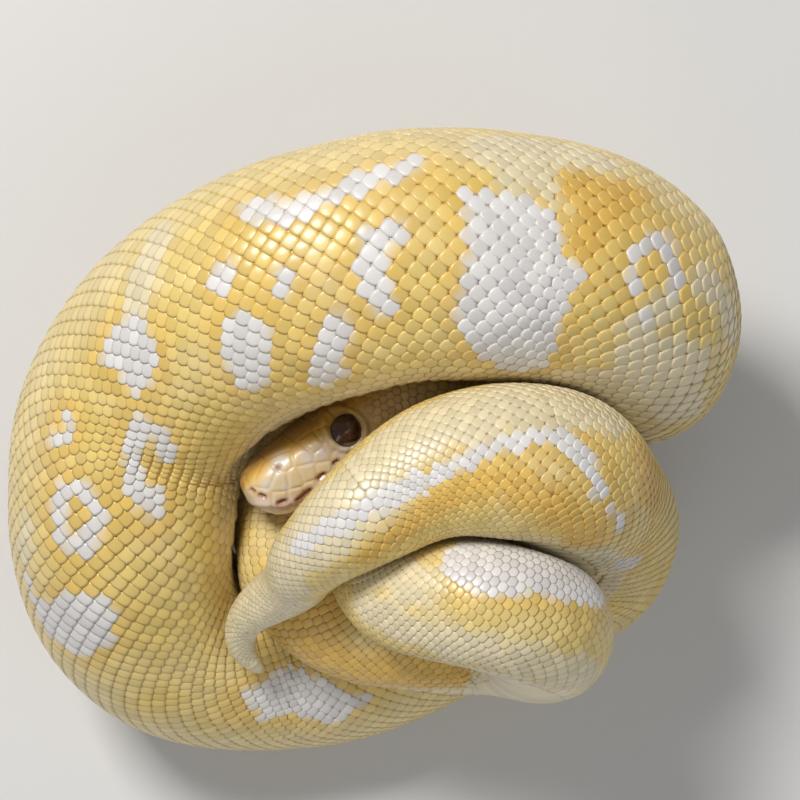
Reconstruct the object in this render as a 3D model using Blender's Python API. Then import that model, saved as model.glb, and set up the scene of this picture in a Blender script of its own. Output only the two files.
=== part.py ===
"""A ball python lying balled up in its own coils, life size, head tucked in and tail tip laid on top.

Run it with: blender --background --python part.py

The body is one long tube. Its path is a short list of guide points for each stretch of the coil, in
millimetres, followed from the snout to the tail tip. The path is then settled: a stretch that sits too close
to another is pushed off it, bends are kept wider than the body, and the lowest stretches come down on the
floor. Each ring of the body is a cross-section about that path, pressed flat where it meets another stretch
or the floor. The body is then parted by thin cuts into head, lower jaw, eyes, neck, trunk lengths and tail.
"""

import math

import bmesh
import bpy
import numpy as np
from mathutils import Vector

MM = 0.001  # every size below is in millimetres

# ---- the coil ---------------------------------------------------------------------------------------------
# Each stretch: name, how firmly it keeps its place (0 free, 1 firm), where its back points, and its guide
# points as x, y, z and the body's half width there. +X is right, +Y is away, +Z is up.
STRETCHES = (
    ("nape", 1.0, (-0.47, 0.80, 0.30), ((-23.9, -14, 50, 5), (-9.6, -5.8, 46, 8), (7.2, 3.8, 41.4, 9))),
    ("neck_out", 0.0, (-0.10, 0.60, 0.80), ((12.5, 3.5, 40.8, 7.1),)),
    ("neck_turn", 0.0, (0.20, 0.30, 0.95), ((15.8, -1.5, 42, 6.7), (15.5, -8.5, 43.5, 6.6), (11.5, -13.5, 45, 6.6))),
    ("neck_back", 0.0, (0.0, 0.35, 0.95), ((5, -16, 46.5, 6.9), (-1, -17, 49, 7.3))),
    ("fore_rise", 0.3, (-0.2, 0.55, 0.80), ((-5, -22, 54, 8.0),)),
    ("fore_top", 1.0, (0.0, 0.72, 0.70), ((0, -28, 60, 9), (7.5, -29.5, 62, 9.8), (15, -31, 62, 10.3))),
    ("fore_bend", 1.0, (0.2, 0.97, 0.15), ((20, -33, 58, 10.6), (22, -34.5, 49, 10.8), (20, -35, 40, 11))),
    ("fore_under", 1.0, (0.0, 0.95, 0.10), ((14, -35.5, 38, 11.4), (3, -34.5, 38, 11.6))),
    ("fore_inward", 0.8, (-0.3, 0.75, 0.60), ((-8, -31.5, 36, 12), (-15, -25.5, 30, 12.6))),
    ("base_turn", 0.0, (-0.75, 0.25, 0.60), ((-19.5, -13, 22, 13.5), (-20.5, 0, 17, 14.5), (-15, 13, 17, 15.5))),
    ("base_pass", 0.0, (0.0, 0.85, 0.55), ((-3, 18, 17, 15.8), (10, 13, 18, 16.6), (22.5, 8.5, 22, 17.2))),
    ("great_rise", 0.5, (0.60, 0.75, 0.25), ((32.5, 8, 31, 17.6), (36.5, 11.5, 43, 17.9))),
    ("great_right", 1.0, (0.35, 0.80, 0.50), ((33, 17, 52, 18.3), (18, 21, 56, 19.2))),
    ("great_top", 1.0, (-0.10, 0.88, 0.46), ((8.5, 21, 57, 19.4), (-1, 20, 56, 19.4), (-7, 18.7, 55, 19.4))),
    ("great_fall", 1.0, (-0.45, 0.78, 0.45), ((-14, 17, 54, 19.4), (-20, 14.5, 52, 19.3), (-26, 11.2, 50, 19.2))),
    ("great_left", 1.0, (-0.86, 0.20, 0.45), ((-35, 3.5, 46, 19), (-42.2, -8.2, 41, 18.8), (-42.6, -19, 36, 18.4))),
    ("great_low", 1.0, (-0.70, -0.55, 0.45), ((-40.5, -30, 30, 17.6), (-35, -38, 24, 16.8))),
    ("hind_low", 1.0, (-0.05, -0.85, 0.50), ((-26, -41.5, 20, 15.8), (-16.4, -41.5, 17, 15.3))),
    ("hind_under", 0.5, (0.2, -0.80, 0.55), ((-5, -39.2, 16, 15), (8.3, -34.5, 15, 14.5), (19.8, -30.5, 15, 14))),
    ("hind_rise", 0.3, (0.65, 0.45, 0.50), ((27.8, -27, 20, 13.6), (30, -22, 35, 13.2))),
    ("hind_bend", 1.0, (0.20, 0.95, -0.20), ((27.5, -15.5, 50, 12.9),)),
    ("hind_top", 1.0, (0.0, 0.76, 0.65), ((23, -10.3, 61, 12.5), (14.8, -9.1, 65, 11.8), (5.1, -10.6, 66, 10.3))),
    ("hind_fall", 1.0, (-0.35, 0.50, 0.80), ((-3.3, -16, 63, 8.6), (-10.5, -22.2, 57, 6.3))),
    ("tail", 1.0, (-0.40, 0.20, 0.90), ((-16, -27.9, 50, 4.8), (-21.3, -31.4, 45, 3.8))),
    ("tail_hook", 1.0, (-0.5, -0.1, 0.86), ((-24.4, -34.5, 42, 2.9), (-25, -38.8, 39, 2.2), (-21.4, -43, 37, 0.9))),
)
STEP = 3.0  # spacing of the path's points
HEAD_STRAIGHT = 30.0  # the skull doesn't bend, so the path is straight this far back from the snout
SETTLE_ROUNDS = 600
SQUEEZE = 0.94  # two stretches in contact may come this share of their half widths together
TIGHTEST_BEND = 1.15  # bend radius over half width
BEND_REACHES = ((1, 0.3), (2, 0.3), (4, 0.3), (6, 0.25))  # steps each way a bend is measured over, and its share
FLOOR_SQUEEZE = 0.92  # a stretch on the floor spreads until its path is this share of its half width up
NEIGHBOURS = 1.8  # points closer along the path than this many widths don't push each other apart
PUSH = 0.55  # share of an overlap that one round takes away
HEAD_PUSH = 0.3
KINK_EASE = 0.2
PULL = 0.25
FREE_OF_HEAD = 56.0  # the neck doesn't press on its own skull before this distance
HOLD_ACROSS = 0.12  # how strongly a firm stretch is drawn back to its guide points, sideways
HOLD_HEIGHT = 0.015  # and up and down
SINK = 0.01  # how far everything sinks in each round
DIRECTION_REACH = 0.5  # the body's direction is read over this much of the path each way
BEND_REACH = 4.0  # and its bend over this much
BACK_ROUNDS = 12  # smoothing of the back's direction along the body
CLEAR_OF_SELF = 1.5  # stretches closer along the body than this many widths don't press on each other

# ---- cross-sections ---------------------------------------------------------------------------------------
GAP = 0.5  # between stretches that press on each other
CUT = 0.3  # between neighbouring lengths of the body
BELLY_FLAT = 0.05  # the belly is this share flatter than the back
BELLY_FROM = 2.1  # angle from the back where the belly's flattening starts
BELLY_EASE = 1.0
PINCH = 0.93  # the inside of a bend reaches this far towards the bend's centre

# Head: distance from the snout, half width, height above and depth below the path.
HEAD_STATIONS = (
    (0.0, 0.0, 0.0, 0.0),
    (0.5, 2.5, 1.7, 2.9),
    (1.6, 3.9, 2.7, 4.5),
    (4.0, 5.1, 3.7, 5.9),
    (9.0, 6.1, 4.9, 6.8),
    (15.0, 7.1, 5.8, 7.1),
    (21.0, 8.6, 6.3, 7.3),
    (27.0, 10.5, 6.7, 7.4),
    (32.0, 11.4, 7.0, 7.4),
    (37.0, 10.2, 7.2, 7.2),
    (42.0, 8.4, 7.2, 7.0),
    (48.0, 7.3, 7.2, 7.1),
)
HEAD_LENGTH = 42.0  # the head's node ends here, at the nape
NAPE_FROM = 38.0  # the head's section turns into the neck's from here
NAPE_EASE = 10.0
HEAD_SQUARE = 2.5  # section exponent: 2 is an ellipse, more is squarer
EYE_RADIUS = 3.2
EYE_BACK = 17.3  # eye centre behind the snout
EYE_UP = 2.1
EYE_INSET = 2.3  # eye centre below the skin
SOCKET_GAP = 0.3
# Mouth line: distance from the snout and height above the path, from in front of the snout to the corner.
MOUTH_LINE = ((-4.0, -2.6), (1.0, -2.8), (4.0, -4.1), (8.0, -4.5), (13.0, -3.5), (20.0, -2.8), (29.0, -3.0))
MOUTH_SLANT = 3.0  # the cut behind the corner leans forward by this much on its way down
MOUTH_GAP = 0.3
MOUTH_BLOCK = 20.0  # half width and depth of the block that parts the jaw

# ---- the lengths the body is parted into, as distances from the snout ---------------------------------------
NECK_LENGTH = 50.0
TRUNK_LENGTHS = 9
TAIL_LENGTH = 58.0
TAIL_TIP_LENGTH = 27.0
RING_SPACING = 4.6
TRUNK_SIDES = 20
NECK_SIDES = 18
TAIL_SIDES = 14
HEAD_SIDES = 28
TIP_ROUND = 0.6

WHITE = (0.80, 0.76, 0.66)
CREAM = (0.83, 0.72, 0.42)
GOLD = (0.80, 0.58, 0.18)
PINK = (0.78, 0.60, 0.50)
EYE_RED = (0.12, 0.02, 0.015)


def clear_scene():
    """Start from an empty file."""
    for item in list(bpy.data.objects):
        bpy.data.objects.remove(item, do_unlink=True)


def material(name, colour, roughness):
    """A plain skin or eye finish."""
    finish = bpy.data.materials.new(name)
    finish.use_nodes = True
    shader = finish.node_tree.nodes["Principled BSDF"]
    shader.inputs["Base Color"].default_value = (*colour, 1.0)
    shader.inputs["Roughness"].default_value = roughness
    shader.inputs["Metallic"].default_value = 0.0
    return finish


# ---- path -------------------------------------------------------------------------------------------------
def distances(points):
    """Distance along a run of points."""
    steps = np.linalg.norm(np.diff(points, axis=0), axis=1)
    return np.concatenate([[0.0], np.cumsum(steps)])


def spline(knots, values, places):
    """A natural cubic through values at knots, read at places."""
    count = len(knots)
    width = np.diff(knots)
    system = np.eye(count)
    right = np.zeros_like(values)
    for i in range(1, count - 1):
        system[i, i - 1 : i + 2] = width[i - 1], 2 * (width[i - 1] + width[i]), width[i]
        right[i] = 6 * ((values[i + 1] - values[i]) / width[i] - (values[i] - values[i - 1]) / width[i - 1])
    bend = np.linalg.solve(system, right)
    i = np.clip(np.searchsorted(knots, places, side="right") - 1, 0, count - 2)
    a = ((knots[i + 1] - places) / width[i])[:, None]
    b = ((places - knots[i]) / width[i])[:, None]
    h = width[i][:, None]
    return a * values[i] + b * values[i + 1] + ((a**3 - a) * bend[i] + (b**3 - b) * bend[i + 1]) * h**2 / 6


def guide_path():
    """The guide points joined smoothly: places, half widths, firmness and back directions every STEP."""
    rows = [(*point, firm, *back) for _, firm, back, points in STRETCHES for point in points]
    table = np.array(rows, float)
    knots = distances(table[:, :3])
    fine = np.linspace(0.0, knots[-1], 4000)
    along = distances(spline(knots, table[:, :3], fine))
    count = int(round(along[-1] / STEP)) + 1
    places = np.interp(np.linspace(0.0, along[-1], count), along, fine)
    path = spline(knots, table[:, :3], places)
    other = np.stack([np.interp(places, knots, table[:, k]) for k in range(3, 8)], axis=1)
    return path, other[:, 0], other[:, 1], other[:, 2:]


def head_balls(path, backs):
    """The skull as a few fixed balls, side by side, that the coils rest against: centres and radii."""
    forward = path[0] - path[4]
    forward /= np.linalg.norm(forward)
    back = backs[0] - forward * np.dot(backs[0], forward)
    left = np.cross(back / np.linalg.norm(back), forward)
    places = np.arange(STEP, HEAD_STRAIGHT + STEP, STEP)
    table = np.array(HEAD_STATIONS)
    wide = np.interp(places, table[:, 0], table[:, 1])
    deep = np.interp(places, table[:, 0], (table[:, 2] + table[:, 3]) / 2)
    centres = []
    for side in (-1.0, 0.0, 1.0):
        shift = side * np.clip(wide - deep, 0.0, None)
        centres.append(path[0] - places[:, None] * forward + shift[:, None] * left)
    return np.concatenate(centres), np.tile(deep, 3)


def keep_spacing(path):
    """Pull neighbouring points back to STEP apart."""
    for _ in range(3):
        run = path[1:] - path[:-1]
        length = np.linalg.norm(run, axis=1)[:, None]
        pull = run * (length - STEP) / length * PULL
        path[:-1] += pull
        path[1:] -= pull


def ease_bends(path, half):
    """Smooth small kinks and open bends tighter than the body can make."""
    bow = np.zeros_like(path)
    bow[1:-1] = (path[:-2] + path[2:]) / 2 - path[1:-1]
    kink = np.zeros_like(path)
    kink[1:-1] = (bow[:-2] + bow[2:]) / 2 - bow[1:-1]
    path -= KINK_EASE * kink
    for reach, share in BEND_REACHES:
        bow = (path[: -2 * reach] + path[2 * reach :]) / 2 - path[reach:-reach]
        size = np.linalg.norm(bow, axis=1)
        most = (reach * STEP) ** 2 / (2 * half[reach:-reach] * TIGHTEST_BEND)
        extra = bow * (np.clip(size - most, 0, None) / np.maximum(size, 1e-9))[:, None]
        path[reach:-reach] += share * extra
        path[: -2 * reach] -= 0.5 * share * extra
        path[2 * reach :] -= 0.5 * share * extra


def push_apart(path, half, first, second):
    """Move stretches that overlap off each other, evenly."""
    run = path[second] - path[first]
    length = np.linalg.norm(run, axis=1)
    overlap = np.clip(SQUEEZE * (half[first] + half[second]) - length, 0, None)
    hit = overlap > 0
    push = (run[hit] / length[hit][:, None]) * overlap[hit][:, None] * PUSH
    move = np.zeros_like(path)
    count = np.zeros(len(path))
    np.add.at(move, second[hit], push)
    np.add.at(move, first[hit], -push)
    np.add.at(count, second[hit], 1)
    np.add.at(count, first[hit], 1)
    path += move / np.maximum(count, 1)[:, None]


def push_off_head(path, half, balls, radii, start):
    """Move the coils off the fixed skull."""
    run = path[start:, None] - balls[None]
    length = np.linalg.norm(run, axis=2)
    overlap = np.clip(half[start:, None] + radii[None] - length, 0, None)
    worst = overlap.argmax(axis=1)
    rows = np.arange(len(worst))
    path[start:] += run[rows, worst] / length[rows, worst][:, None] * overlap[rows, worst][:, None] * HEAD_PUSH


def settle(path, half, firm, backs):
    """Let the coils come to rest against each other, the skull and the floor."""
    guide = path.copy()
    path = path.copy()
    first, second = np.triu_indices(len(path), 1)
    apart = (second - first) * STEP > NEIGHBOURS * (half[first] + half[second])
    first, second = first[apart], second[apart]
    balls, radii = head_balls(guide, backs)
    rigid = int(HEAD_STRAIGHT / STEP) + 1
    after_head = int(FREE_OF_HEAD / STEP) + 1
    hold = firm[:, None] * np.array([HOLD_ACROSS, HOLD_ACROSS, HOLD_HEIGHT])
    for _ in range(SETTLE_ROUNDS):
        keep_spacing(path)
        ease_bends(path, half)
        push_apart(path, half, first, second)
        push_off_head(path, half, balls, radii, after_head)
        path[:, 2] = np.maximum(path[:, 2], FLOOR_SQUEEZE * half)
        path += (guide - path) * hold
        path[:, 2] -= SINK
        path[:rigid] = guide[:rigid]
    return path


class Body:
    """The settled body: its path, half widths and back directions, and the skin's place at any point."""

    def __init__(self):
        path, half, firm, backs = guide_path()
        self.balls, self.radii = head_balls(path, backs)
        self.path = settle(path, half, firm, backs)
        self.along = distances(self.path)
        self.half = half
        self.length = self.along[-1]
        self.backs = self.turned_backs(backs)

    def turned_backs(self, backs):
        """Back directions square to the path, with sudden turns evened out."""
        ahead = np.gradient(self.path, axis=0)
        ahead /= np.linalg.norm(ahead, axis=1)[:, None]
        for _ in range(BACK_ROUNDS):
            backs = backs - ahead * (backs * ahead).sum(axis=1)[:, None]
            backs /= np.linalg.norm(backs, axis=1)[:, None]
            backs[1:-1] = (backs[:-2] + 2 * backs[1:-1] + backs[2:]) / 4
        return backs

    def frame(self, along):
        """Centre, tailward, back and left directions, half width and bend at distances along the body."""
        along = np.clip(along, 0.0, self.length)
        centre = spline(self.along, self.path, along)
        before = spline(self.along, self.path, np.clip(along - DIRECTION_REACH, 0, self.length))
        after = spline(self.along, self.path, np.clip(along + DIRECTION_REACH, 0, self.length))
        tailward = after - before
        tailward /= np.linalg.norm(tailward, axis=1)[:, None]
        back = spline(self.along, self.backs, along)
        back -= tailward * (back * tailward).sum(axis=1)[:, None]
        back /= np.linalg.norm(back, axis=1)[:, None]
        left = np.cross(tailward, back)
        half = spline(self.along, self.half[:, None], along)[:, 0]
        low = spline(self.along, self.path, np.clip(along - BEND_REACH, 0, self.length))
        high = spline(self.along, self.path, np.clip(along + BEND_REACH, 0, self.length))
        bend = (low + high - 2 * centre) / BEND_REACH**2
        return centre, tailward, back, left, half, bend

    def section(self, along, angle, half):
        """Distance from the path to the skin, before anything presses on it."""
        belly = np.clip((np.abs(angle) - BELLY_FROM) / BELLY_EASE, 0, 1)
        round_one = half[:, None] * (1 - BELLY_FLAT * belly[None] ** 2 * (3 - 2 * belly[None]))
        table = np.array(HEAD_STATIONS)
        knots = np.sqrt(table[:, 0])  # square roots keep the snout's tip round
        read = spline(knots, table[:, 1:], np.sqrt(np.clip(along, 0, table[-1, 0])))
        wide = np.maximum(read[:, 0], 1e-3)[:, None]
        tall = np.where(np.cos(angle)[None] > 0, read[:, 1:2], read[:, 2:3])
        tall = np.maximum(tall, 1e-3)
        power = HEAD_SQUARE
        head = (
            np.abs(np.sin(angle)[None] / wide) ** power + np.abs(np.cos(angle)[None] / tall) ** power
        ) ** (-1 / power)
        share = np.clip((along - NAPE_FROM) / NAPE_EASE, 0, 1)[:, None]
        share = share * share * (3 - 2 * share)
        return head * (1 - share) + round_one * share

    def skin(self, along, angle, depth=0.0):
        """Points of the skin, one ring for each distance and one point of it for each angle.

        The angle is 0 at the back and grows to the left. depth moves the surface inwards.
        """
        centre, _, back, left, half, bend = self.frame(along)
        reach = self.section(along, angle, half) - depth
        ray = np.cos(angle)[None, :, None] * back[:, None] + np.sin(angle)[None, :, None] * left[:, None]
        towards = (ray * bend[:, None]).sum(axis=2)  # 1 over the bend radius, on this side
        reach = np.where(towards > 1e-6, np.minimum(reach, PINCH / np.maximum(towards, 1e-6)), reach)
        fixed = along < HEAD_LENGTH
        reach = np.minimum(reach, np.where(fixed[:, None], reach, self.pressed(along, centre, ray, half, depth)))
        floor = (centre[:, None, 2] - depth) / np.maximum(-ray[:, :, 2], 1e-6)
        reach = np.where(ray[:, :, 2] < -1e-6, np.minimum(reach, floor), reach)
        return centre[:, None] + np.maximum(reach, 0.05)[:, :, None] * ray

    def pressed(self, along, centre, ray, half, depth):
        """How far each ray may go before it meets the plane shared with another stretch, or the head."""
        fine = np.arange(HEAD_LENGTH, self.length, STEP / 2)
        others = spline(self.along, self.path, fine)
        other_half = np.interp(fine, self.along, self.half)
        most = np.full(ray.shape[:2], 1e9)
        for i in range(len(along)):
            away = np.abs(fine - along[i]) > CLEAR_OF_SELF * (other_half + half[i])
            run = others[away] - centre[i]
            near = np.linalg.norm(run, axis=1) < other_half[away] + half[i] + 2
            run = run[near]
            if len(run):
                lead = other_half[away][near] - half[i] + GAP + 2 * depth
                reach = ray[i] @ run.T + lead
                limit = ((run**2).sum(axis=1) - lead**2) / (2 * np.maximum(reach, 1e-6))
                most[i] = np.where(reach > 1e-6, limit, 1e9).min(axis=1)
            if along[i] > FREE_OF_HEAD:
                run = self.balls - centre[i]
                reach = ray[i] @ run.T
                inside = reach**2 - (run**2).sum(axis=1) + (self.radii + GAP + depth) ** 2
                limit = reach - np.sqrt(np.maximum(inside, 0))
                hit = (inside > 0) & (reach > 0)
                most[i] = np.minimum(most[i], np.where(hit, np.maximum(limit, 0.1), 1e9).min(axis=1))
        return most


# ---- building ---------------------------------------------------------------------------------------------
def angles(sides):
    """Evenly spaced angles round a ring, starting at the back."""
    return np.arange(sides) * 2 * math.pi / sides


def loft(name, rings, start_point=None, end_point=None):
    """A closed mesh through rings of points, each end flat or drawn to a point."""
    shape = bmesh.new()
    sides = len(rings[0])
    rows = [[shape.verts.new(Vector(point) * MM) for point in ring] for ring in rings]
    for before, after in zip(rows, rows[1:]):
        for k in range(sides):
            n = (k + 1) % sides
            shape.faces.new((before[k], after[k], after[n], before[n]))
    for row, point in ((rows[0], start_point), (rows[-1], end_point)):
        if point is None:
            middle = sum((v.co for v in row), Vector()) / sides
        else:
            middle = Vector(point) * MM
        tip = shape.verts.new(middle)
        for k in range(sides):
            shape.faces.new((row[k], row[(k + 1) % sides], tip))
    bmesh.ops.triangulate(shape, faces=shape.faces)
    bmesh.ops.recalc_face_normals(shape, faces=shape.faces)
    mesh = bpy.data.meshes.new(name)
    shape.to_mesh(mesh)
    shape.free()
    return mesh


def add(collection, name, mesh, finish):
    """Put a mesh in the collection as a named, smooth-shaded object."""
    mesh.materials.append(finish)
    mesh.shade_smooth()
    item = bpy.data.objects.new(name, mesh)
    collection.objects.link(item)
    return item


def body_length(body, collection, name, start, end, sides, finish):
    """One length of the body between two thin cuts."""
    count = max(3, int(round((end - start) / RING_SPACING)) + 1)
    rings = body.skin(np.linspace(start + CUT / 2, end - CUT / 2, count), angles(sides))
    return add(collection, name, loft(name, rings), finish)


def tail_end(body, collection, name, start, finish):
    """The last length, drawn to a blunt tip."""
    end = body.length - TIP_ROUND
    count = int(round((end - start) / (RING_SPACING * 0.6))) + 1
    rings = body.skin(np.linspace(start + CUT / 2, end, count), angles(TAIL_SIDES))
    centre = body.frame(np.array([body.length]))[0][0]
    return add(collection, name, loft(name, rings, end_point=centre), finish)


def cutter(collection, name, mesh):
    """A tool for a Boolean, kept out of sight."""
    item = bpy.data.objects.new(name, mesh)
    item.hide_render = True
    item.display_type = "WIRE"
    collection.objects.link(item)
    return item


def boolean(item, tool, operation):
    """Add one exact Boolean."""
    step = item.modifiers.new(operation.lower(), "BOOLEAN")
    step.operation = operation
    step.solver = "EXACT"
    step.object = tool


def head_place(body, back, left, up):
    """A point of the head, from its distance behind the snout and its offsets to the left and the back."""
    centre, _, back_way, left_way, _, _ = body.frame(np.array([back]))
    return centre[0] + left * left_way[0] + up * back_way[0]


def ball(name, centre, radius, segments):
    """A sphere at a point."""
    shape = bmesh.new()
    bmesh.ops.create_uvsphere(shape, u_segments=segments, v_segments=segments // 2, radius=radius * MM)
    bmesh.ops.translate(shape, verts=shape.verts, vec=Vector(centre) * MM)
    mesh = bpy.data.meshes.new(name)
    shape.to_mesh(mesh)
    shape.free()
    return mesh


def eye_centre(body, side):
    """Centre of the eye on one side, +1 left and -1 right."""
    wide, top = (np.interp(EYE_BACK, *np.array(HEAD_STATIONS).T[[0, k]]) for k in (1, 2))
    at_eye = wide * (1 - (EYE_UP / top) ** HEAD_SQUARE) ** (1 / HEAD_SQUARE)
    return head_place(body, EYE_BACK, side * (at_eye - EYE_INSET), EYE_UP)


def mouth_block(body, name, lift):
    """A block that holds everything below the mouth line, for parting the lower jaw from the head."""
    line = [(along, up + lift) for along, up in MOUTH_LINE]
    front, rear = line[0][0], line[-1][0] + lift
    line[-1] = (rear, line[-1][1])
    profile = [*line, (rear - MOUTH_SLANT, -MOUTH_BLOCK), (front, -MOUTH_BLOCK)]
    rings = []
    for side in (-MOUTH_BLOCK, MOUTH_BLOCK):
        rings.append([head_place(body, 0.0, side, 0.0) + head_offset(body, along, up) for along, up in profile])
    return loft(name, rings)


def head_offset(body, along, up):
    """A step along the skull's straight axis and up its back."""
    _, tailward, back, _, _, _ = body.frame(np.array([0.0]))
    return along * tailward[0] + up * back[0]


def build_head(body, parts, tools, finish, jaw_finish, eye_finish):
    """Head, lower jaw and eyes."""
    stations = np.concatenate([[0.12, 0.5, 1.2, 2.4], np.linspace(4.0, HEAD_LENGTH - CUT / 2, 17)])
    rings = body.skin(stations, angles(HEAD_SIDES))
    tip = head_place(body, 0.0, 0.0, 0.0)
    head = add(parts, "head", loft("head", rings, start_point=tip), finish)
    jaw = add(parts, "lower_jaw", loft("lower_jaw", rings, start_point=tip), jaw_finish)
    mouth_tool = cutter(tools, "mouth_cut", mouth_block(body, "mouth_cut", MOUTH_GAP / 2))
    jaw_tool = cutter(tools, "jaw_cut", mouth_block(body, "jaw_cut", -MOUTH_GAP / 2))
    boolean(head, mouth_tool, "DIFFERENCE")
    boolean(jaw, jaw_tool, "INTERSECT")
    for side, word in ((1, "left"), (-1, "right")):
        centre = eye_centre(body, side)
        add(parts, f"eye_{word}", ball(f"eye_{word}", centre, EYE_RADIUS, 16), eye_finish)
        socket = cutter(tools, f"socket_{word}", ball(f"socket_{word}", centre, EYE_RADIUS + SOCKET_GAP, 20))
        boolean(head, socket, "DIFFERENCE")


def centre_on_floor(parts, tools):
    """Move everything so that the middle of the model's box is over the origin and its lowest point at z 0."""
    bpy.context.view_layer.update()
    graph = bpy.context.evaluated_depsgraph_get()
    corners = []
    for item in parts.objects:
        shape = item.evaluated_get(graph).to_mesh()
        corners += [np.array(v.co) for v in shape.vertices]
    low, high = np.min(corners, axis=0), np.max(corners, axis=0)
    shift = Vector((-(low[0] + high[0]) / 2, -(low[1] + high[1]) / 2, -low[2]))
    for item in [*parts.objects, *tools.objects]:
        for vertex in item.data.vertices:
            vertex.co += shift


def main():
    """Build the whole animal."""
    clear_scene()
    parts = bpy.data.collections.new("coiled_ball_python")
    tools = bpy.data.collections.new("cutters")
    bpy.context.scene.collection.children.link(parts)
    bpy.context.scene.collection.children.link(tools)
    body = Body()
    gold = material("gold_scales", GOLD, 0.45)
    cream = material("cream_scales", CREAM, 0.45)
    white = material("white_scales", WHITE, 0.45)
    pink = material("pink_lip_scales", PINK, 0.4)
    eye = material("dark_red_eye", EYE_RED, 0.08)
    build_head(body, parts, tools, gold, pink, eye)
    neck_end = HEAD_LENGTH + NECK_LENGTH
    vent = body.length - TAIL_LENGTH
    tip_start = body.length - TAIL_TIP_LENGTH
    body_length(body, parts, "neck", HEAD_LENGTH, neck_end, NECK_SIDES, cream)
    cuts = np.linspace(neck_end, vent, TRUNK_LENGTHS + 1)
    for k in range(TRUNK_LENGTHS):
        finish = (cream, gold, white)[k % 3]
        body_length(body, parts, f"trunk_{k + 1}", cuts[k], cuts[k + 1], TRUNK_SIDES, finish)
    body_length(body, parts, "tail_base", vent, tip_start, TAIL_SIDES, gold)
    tail_end(body, parts, "tail_tip", tip_start, cream)
    centre_on_floor(parts, tools)


main()
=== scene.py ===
"""The looks of a ball python lying balled up in its own coils: skin, scales, belly plates, eyes and studio.

The animal is one long tube about a settled path. Every place on it has two numbers: the distance along
the body from the snout, in millimetres, and the angle round it, 0 at the spine and growing to the
animal's left. Skin, scales, belly plates and markings are laid out in those two numbers and then wrapped
on the body.
"""

import logging
import math
from dataclasses import dataclass, field, fields
from enum import Enum
from typing import Any, Sequence

import bpy
import numpy as np
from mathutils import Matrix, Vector
from mathutils.kdtree import KDTree


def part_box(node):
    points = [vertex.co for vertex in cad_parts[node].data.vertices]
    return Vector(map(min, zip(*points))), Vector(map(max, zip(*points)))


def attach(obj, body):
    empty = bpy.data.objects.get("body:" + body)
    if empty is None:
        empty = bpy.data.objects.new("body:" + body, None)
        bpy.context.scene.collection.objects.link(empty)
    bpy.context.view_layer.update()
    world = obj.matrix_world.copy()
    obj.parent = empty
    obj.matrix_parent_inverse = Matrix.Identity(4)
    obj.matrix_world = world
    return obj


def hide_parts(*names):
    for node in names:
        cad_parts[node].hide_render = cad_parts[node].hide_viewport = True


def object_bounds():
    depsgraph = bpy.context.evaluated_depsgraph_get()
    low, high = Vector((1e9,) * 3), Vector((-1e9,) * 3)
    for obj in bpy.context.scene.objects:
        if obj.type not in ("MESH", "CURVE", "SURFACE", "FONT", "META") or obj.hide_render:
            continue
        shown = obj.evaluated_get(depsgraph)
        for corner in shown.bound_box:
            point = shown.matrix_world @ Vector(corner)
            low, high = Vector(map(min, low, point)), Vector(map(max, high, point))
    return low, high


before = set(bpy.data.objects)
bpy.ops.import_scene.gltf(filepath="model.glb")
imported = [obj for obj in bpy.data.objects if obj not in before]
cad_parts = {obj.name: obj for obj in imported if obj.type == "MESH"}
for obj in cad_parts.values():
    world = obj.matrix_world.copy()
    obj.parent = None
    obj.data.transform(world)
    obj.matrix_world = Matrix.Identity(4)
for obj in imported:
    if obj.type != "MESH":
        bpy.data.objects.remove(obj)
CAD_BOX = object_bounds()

Array = np.ndarray
Mesh, Item, Material = bpy.types.Mesh, bpy.types.Object, bpy.types.Material
Pair, Triple, Four = tuple[float, float], tuple[float, float, float], tuple[float, float, float, float]
Colour = Triple
LOG = logging.getLogger("ball_python")
MM = 0.001  # sizes are in millimetres until a mesh is made
BODY = "root"
SEED = 11
TURN = 2 * math.pi
TINY = 1e-6
SPECK = 1e-9  # keeps a length from being nothing
FAR = 1e9


# ---- the coil ------------------------------------------------------------------------------------
@dataclass(frozen=True)
class Stretch:
    """One stretch of the coil.

    Args:
        name: What the stretch is.
        firm: How firmly it keeps its place, from 0, free, to 1.
        back: Where its spine points.
        points: Guide points along it, each x, y, z and the body's half width.
    """

    name: str
    firm: float
    back: Triple
    points: tuple[Four, ...]


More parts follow.
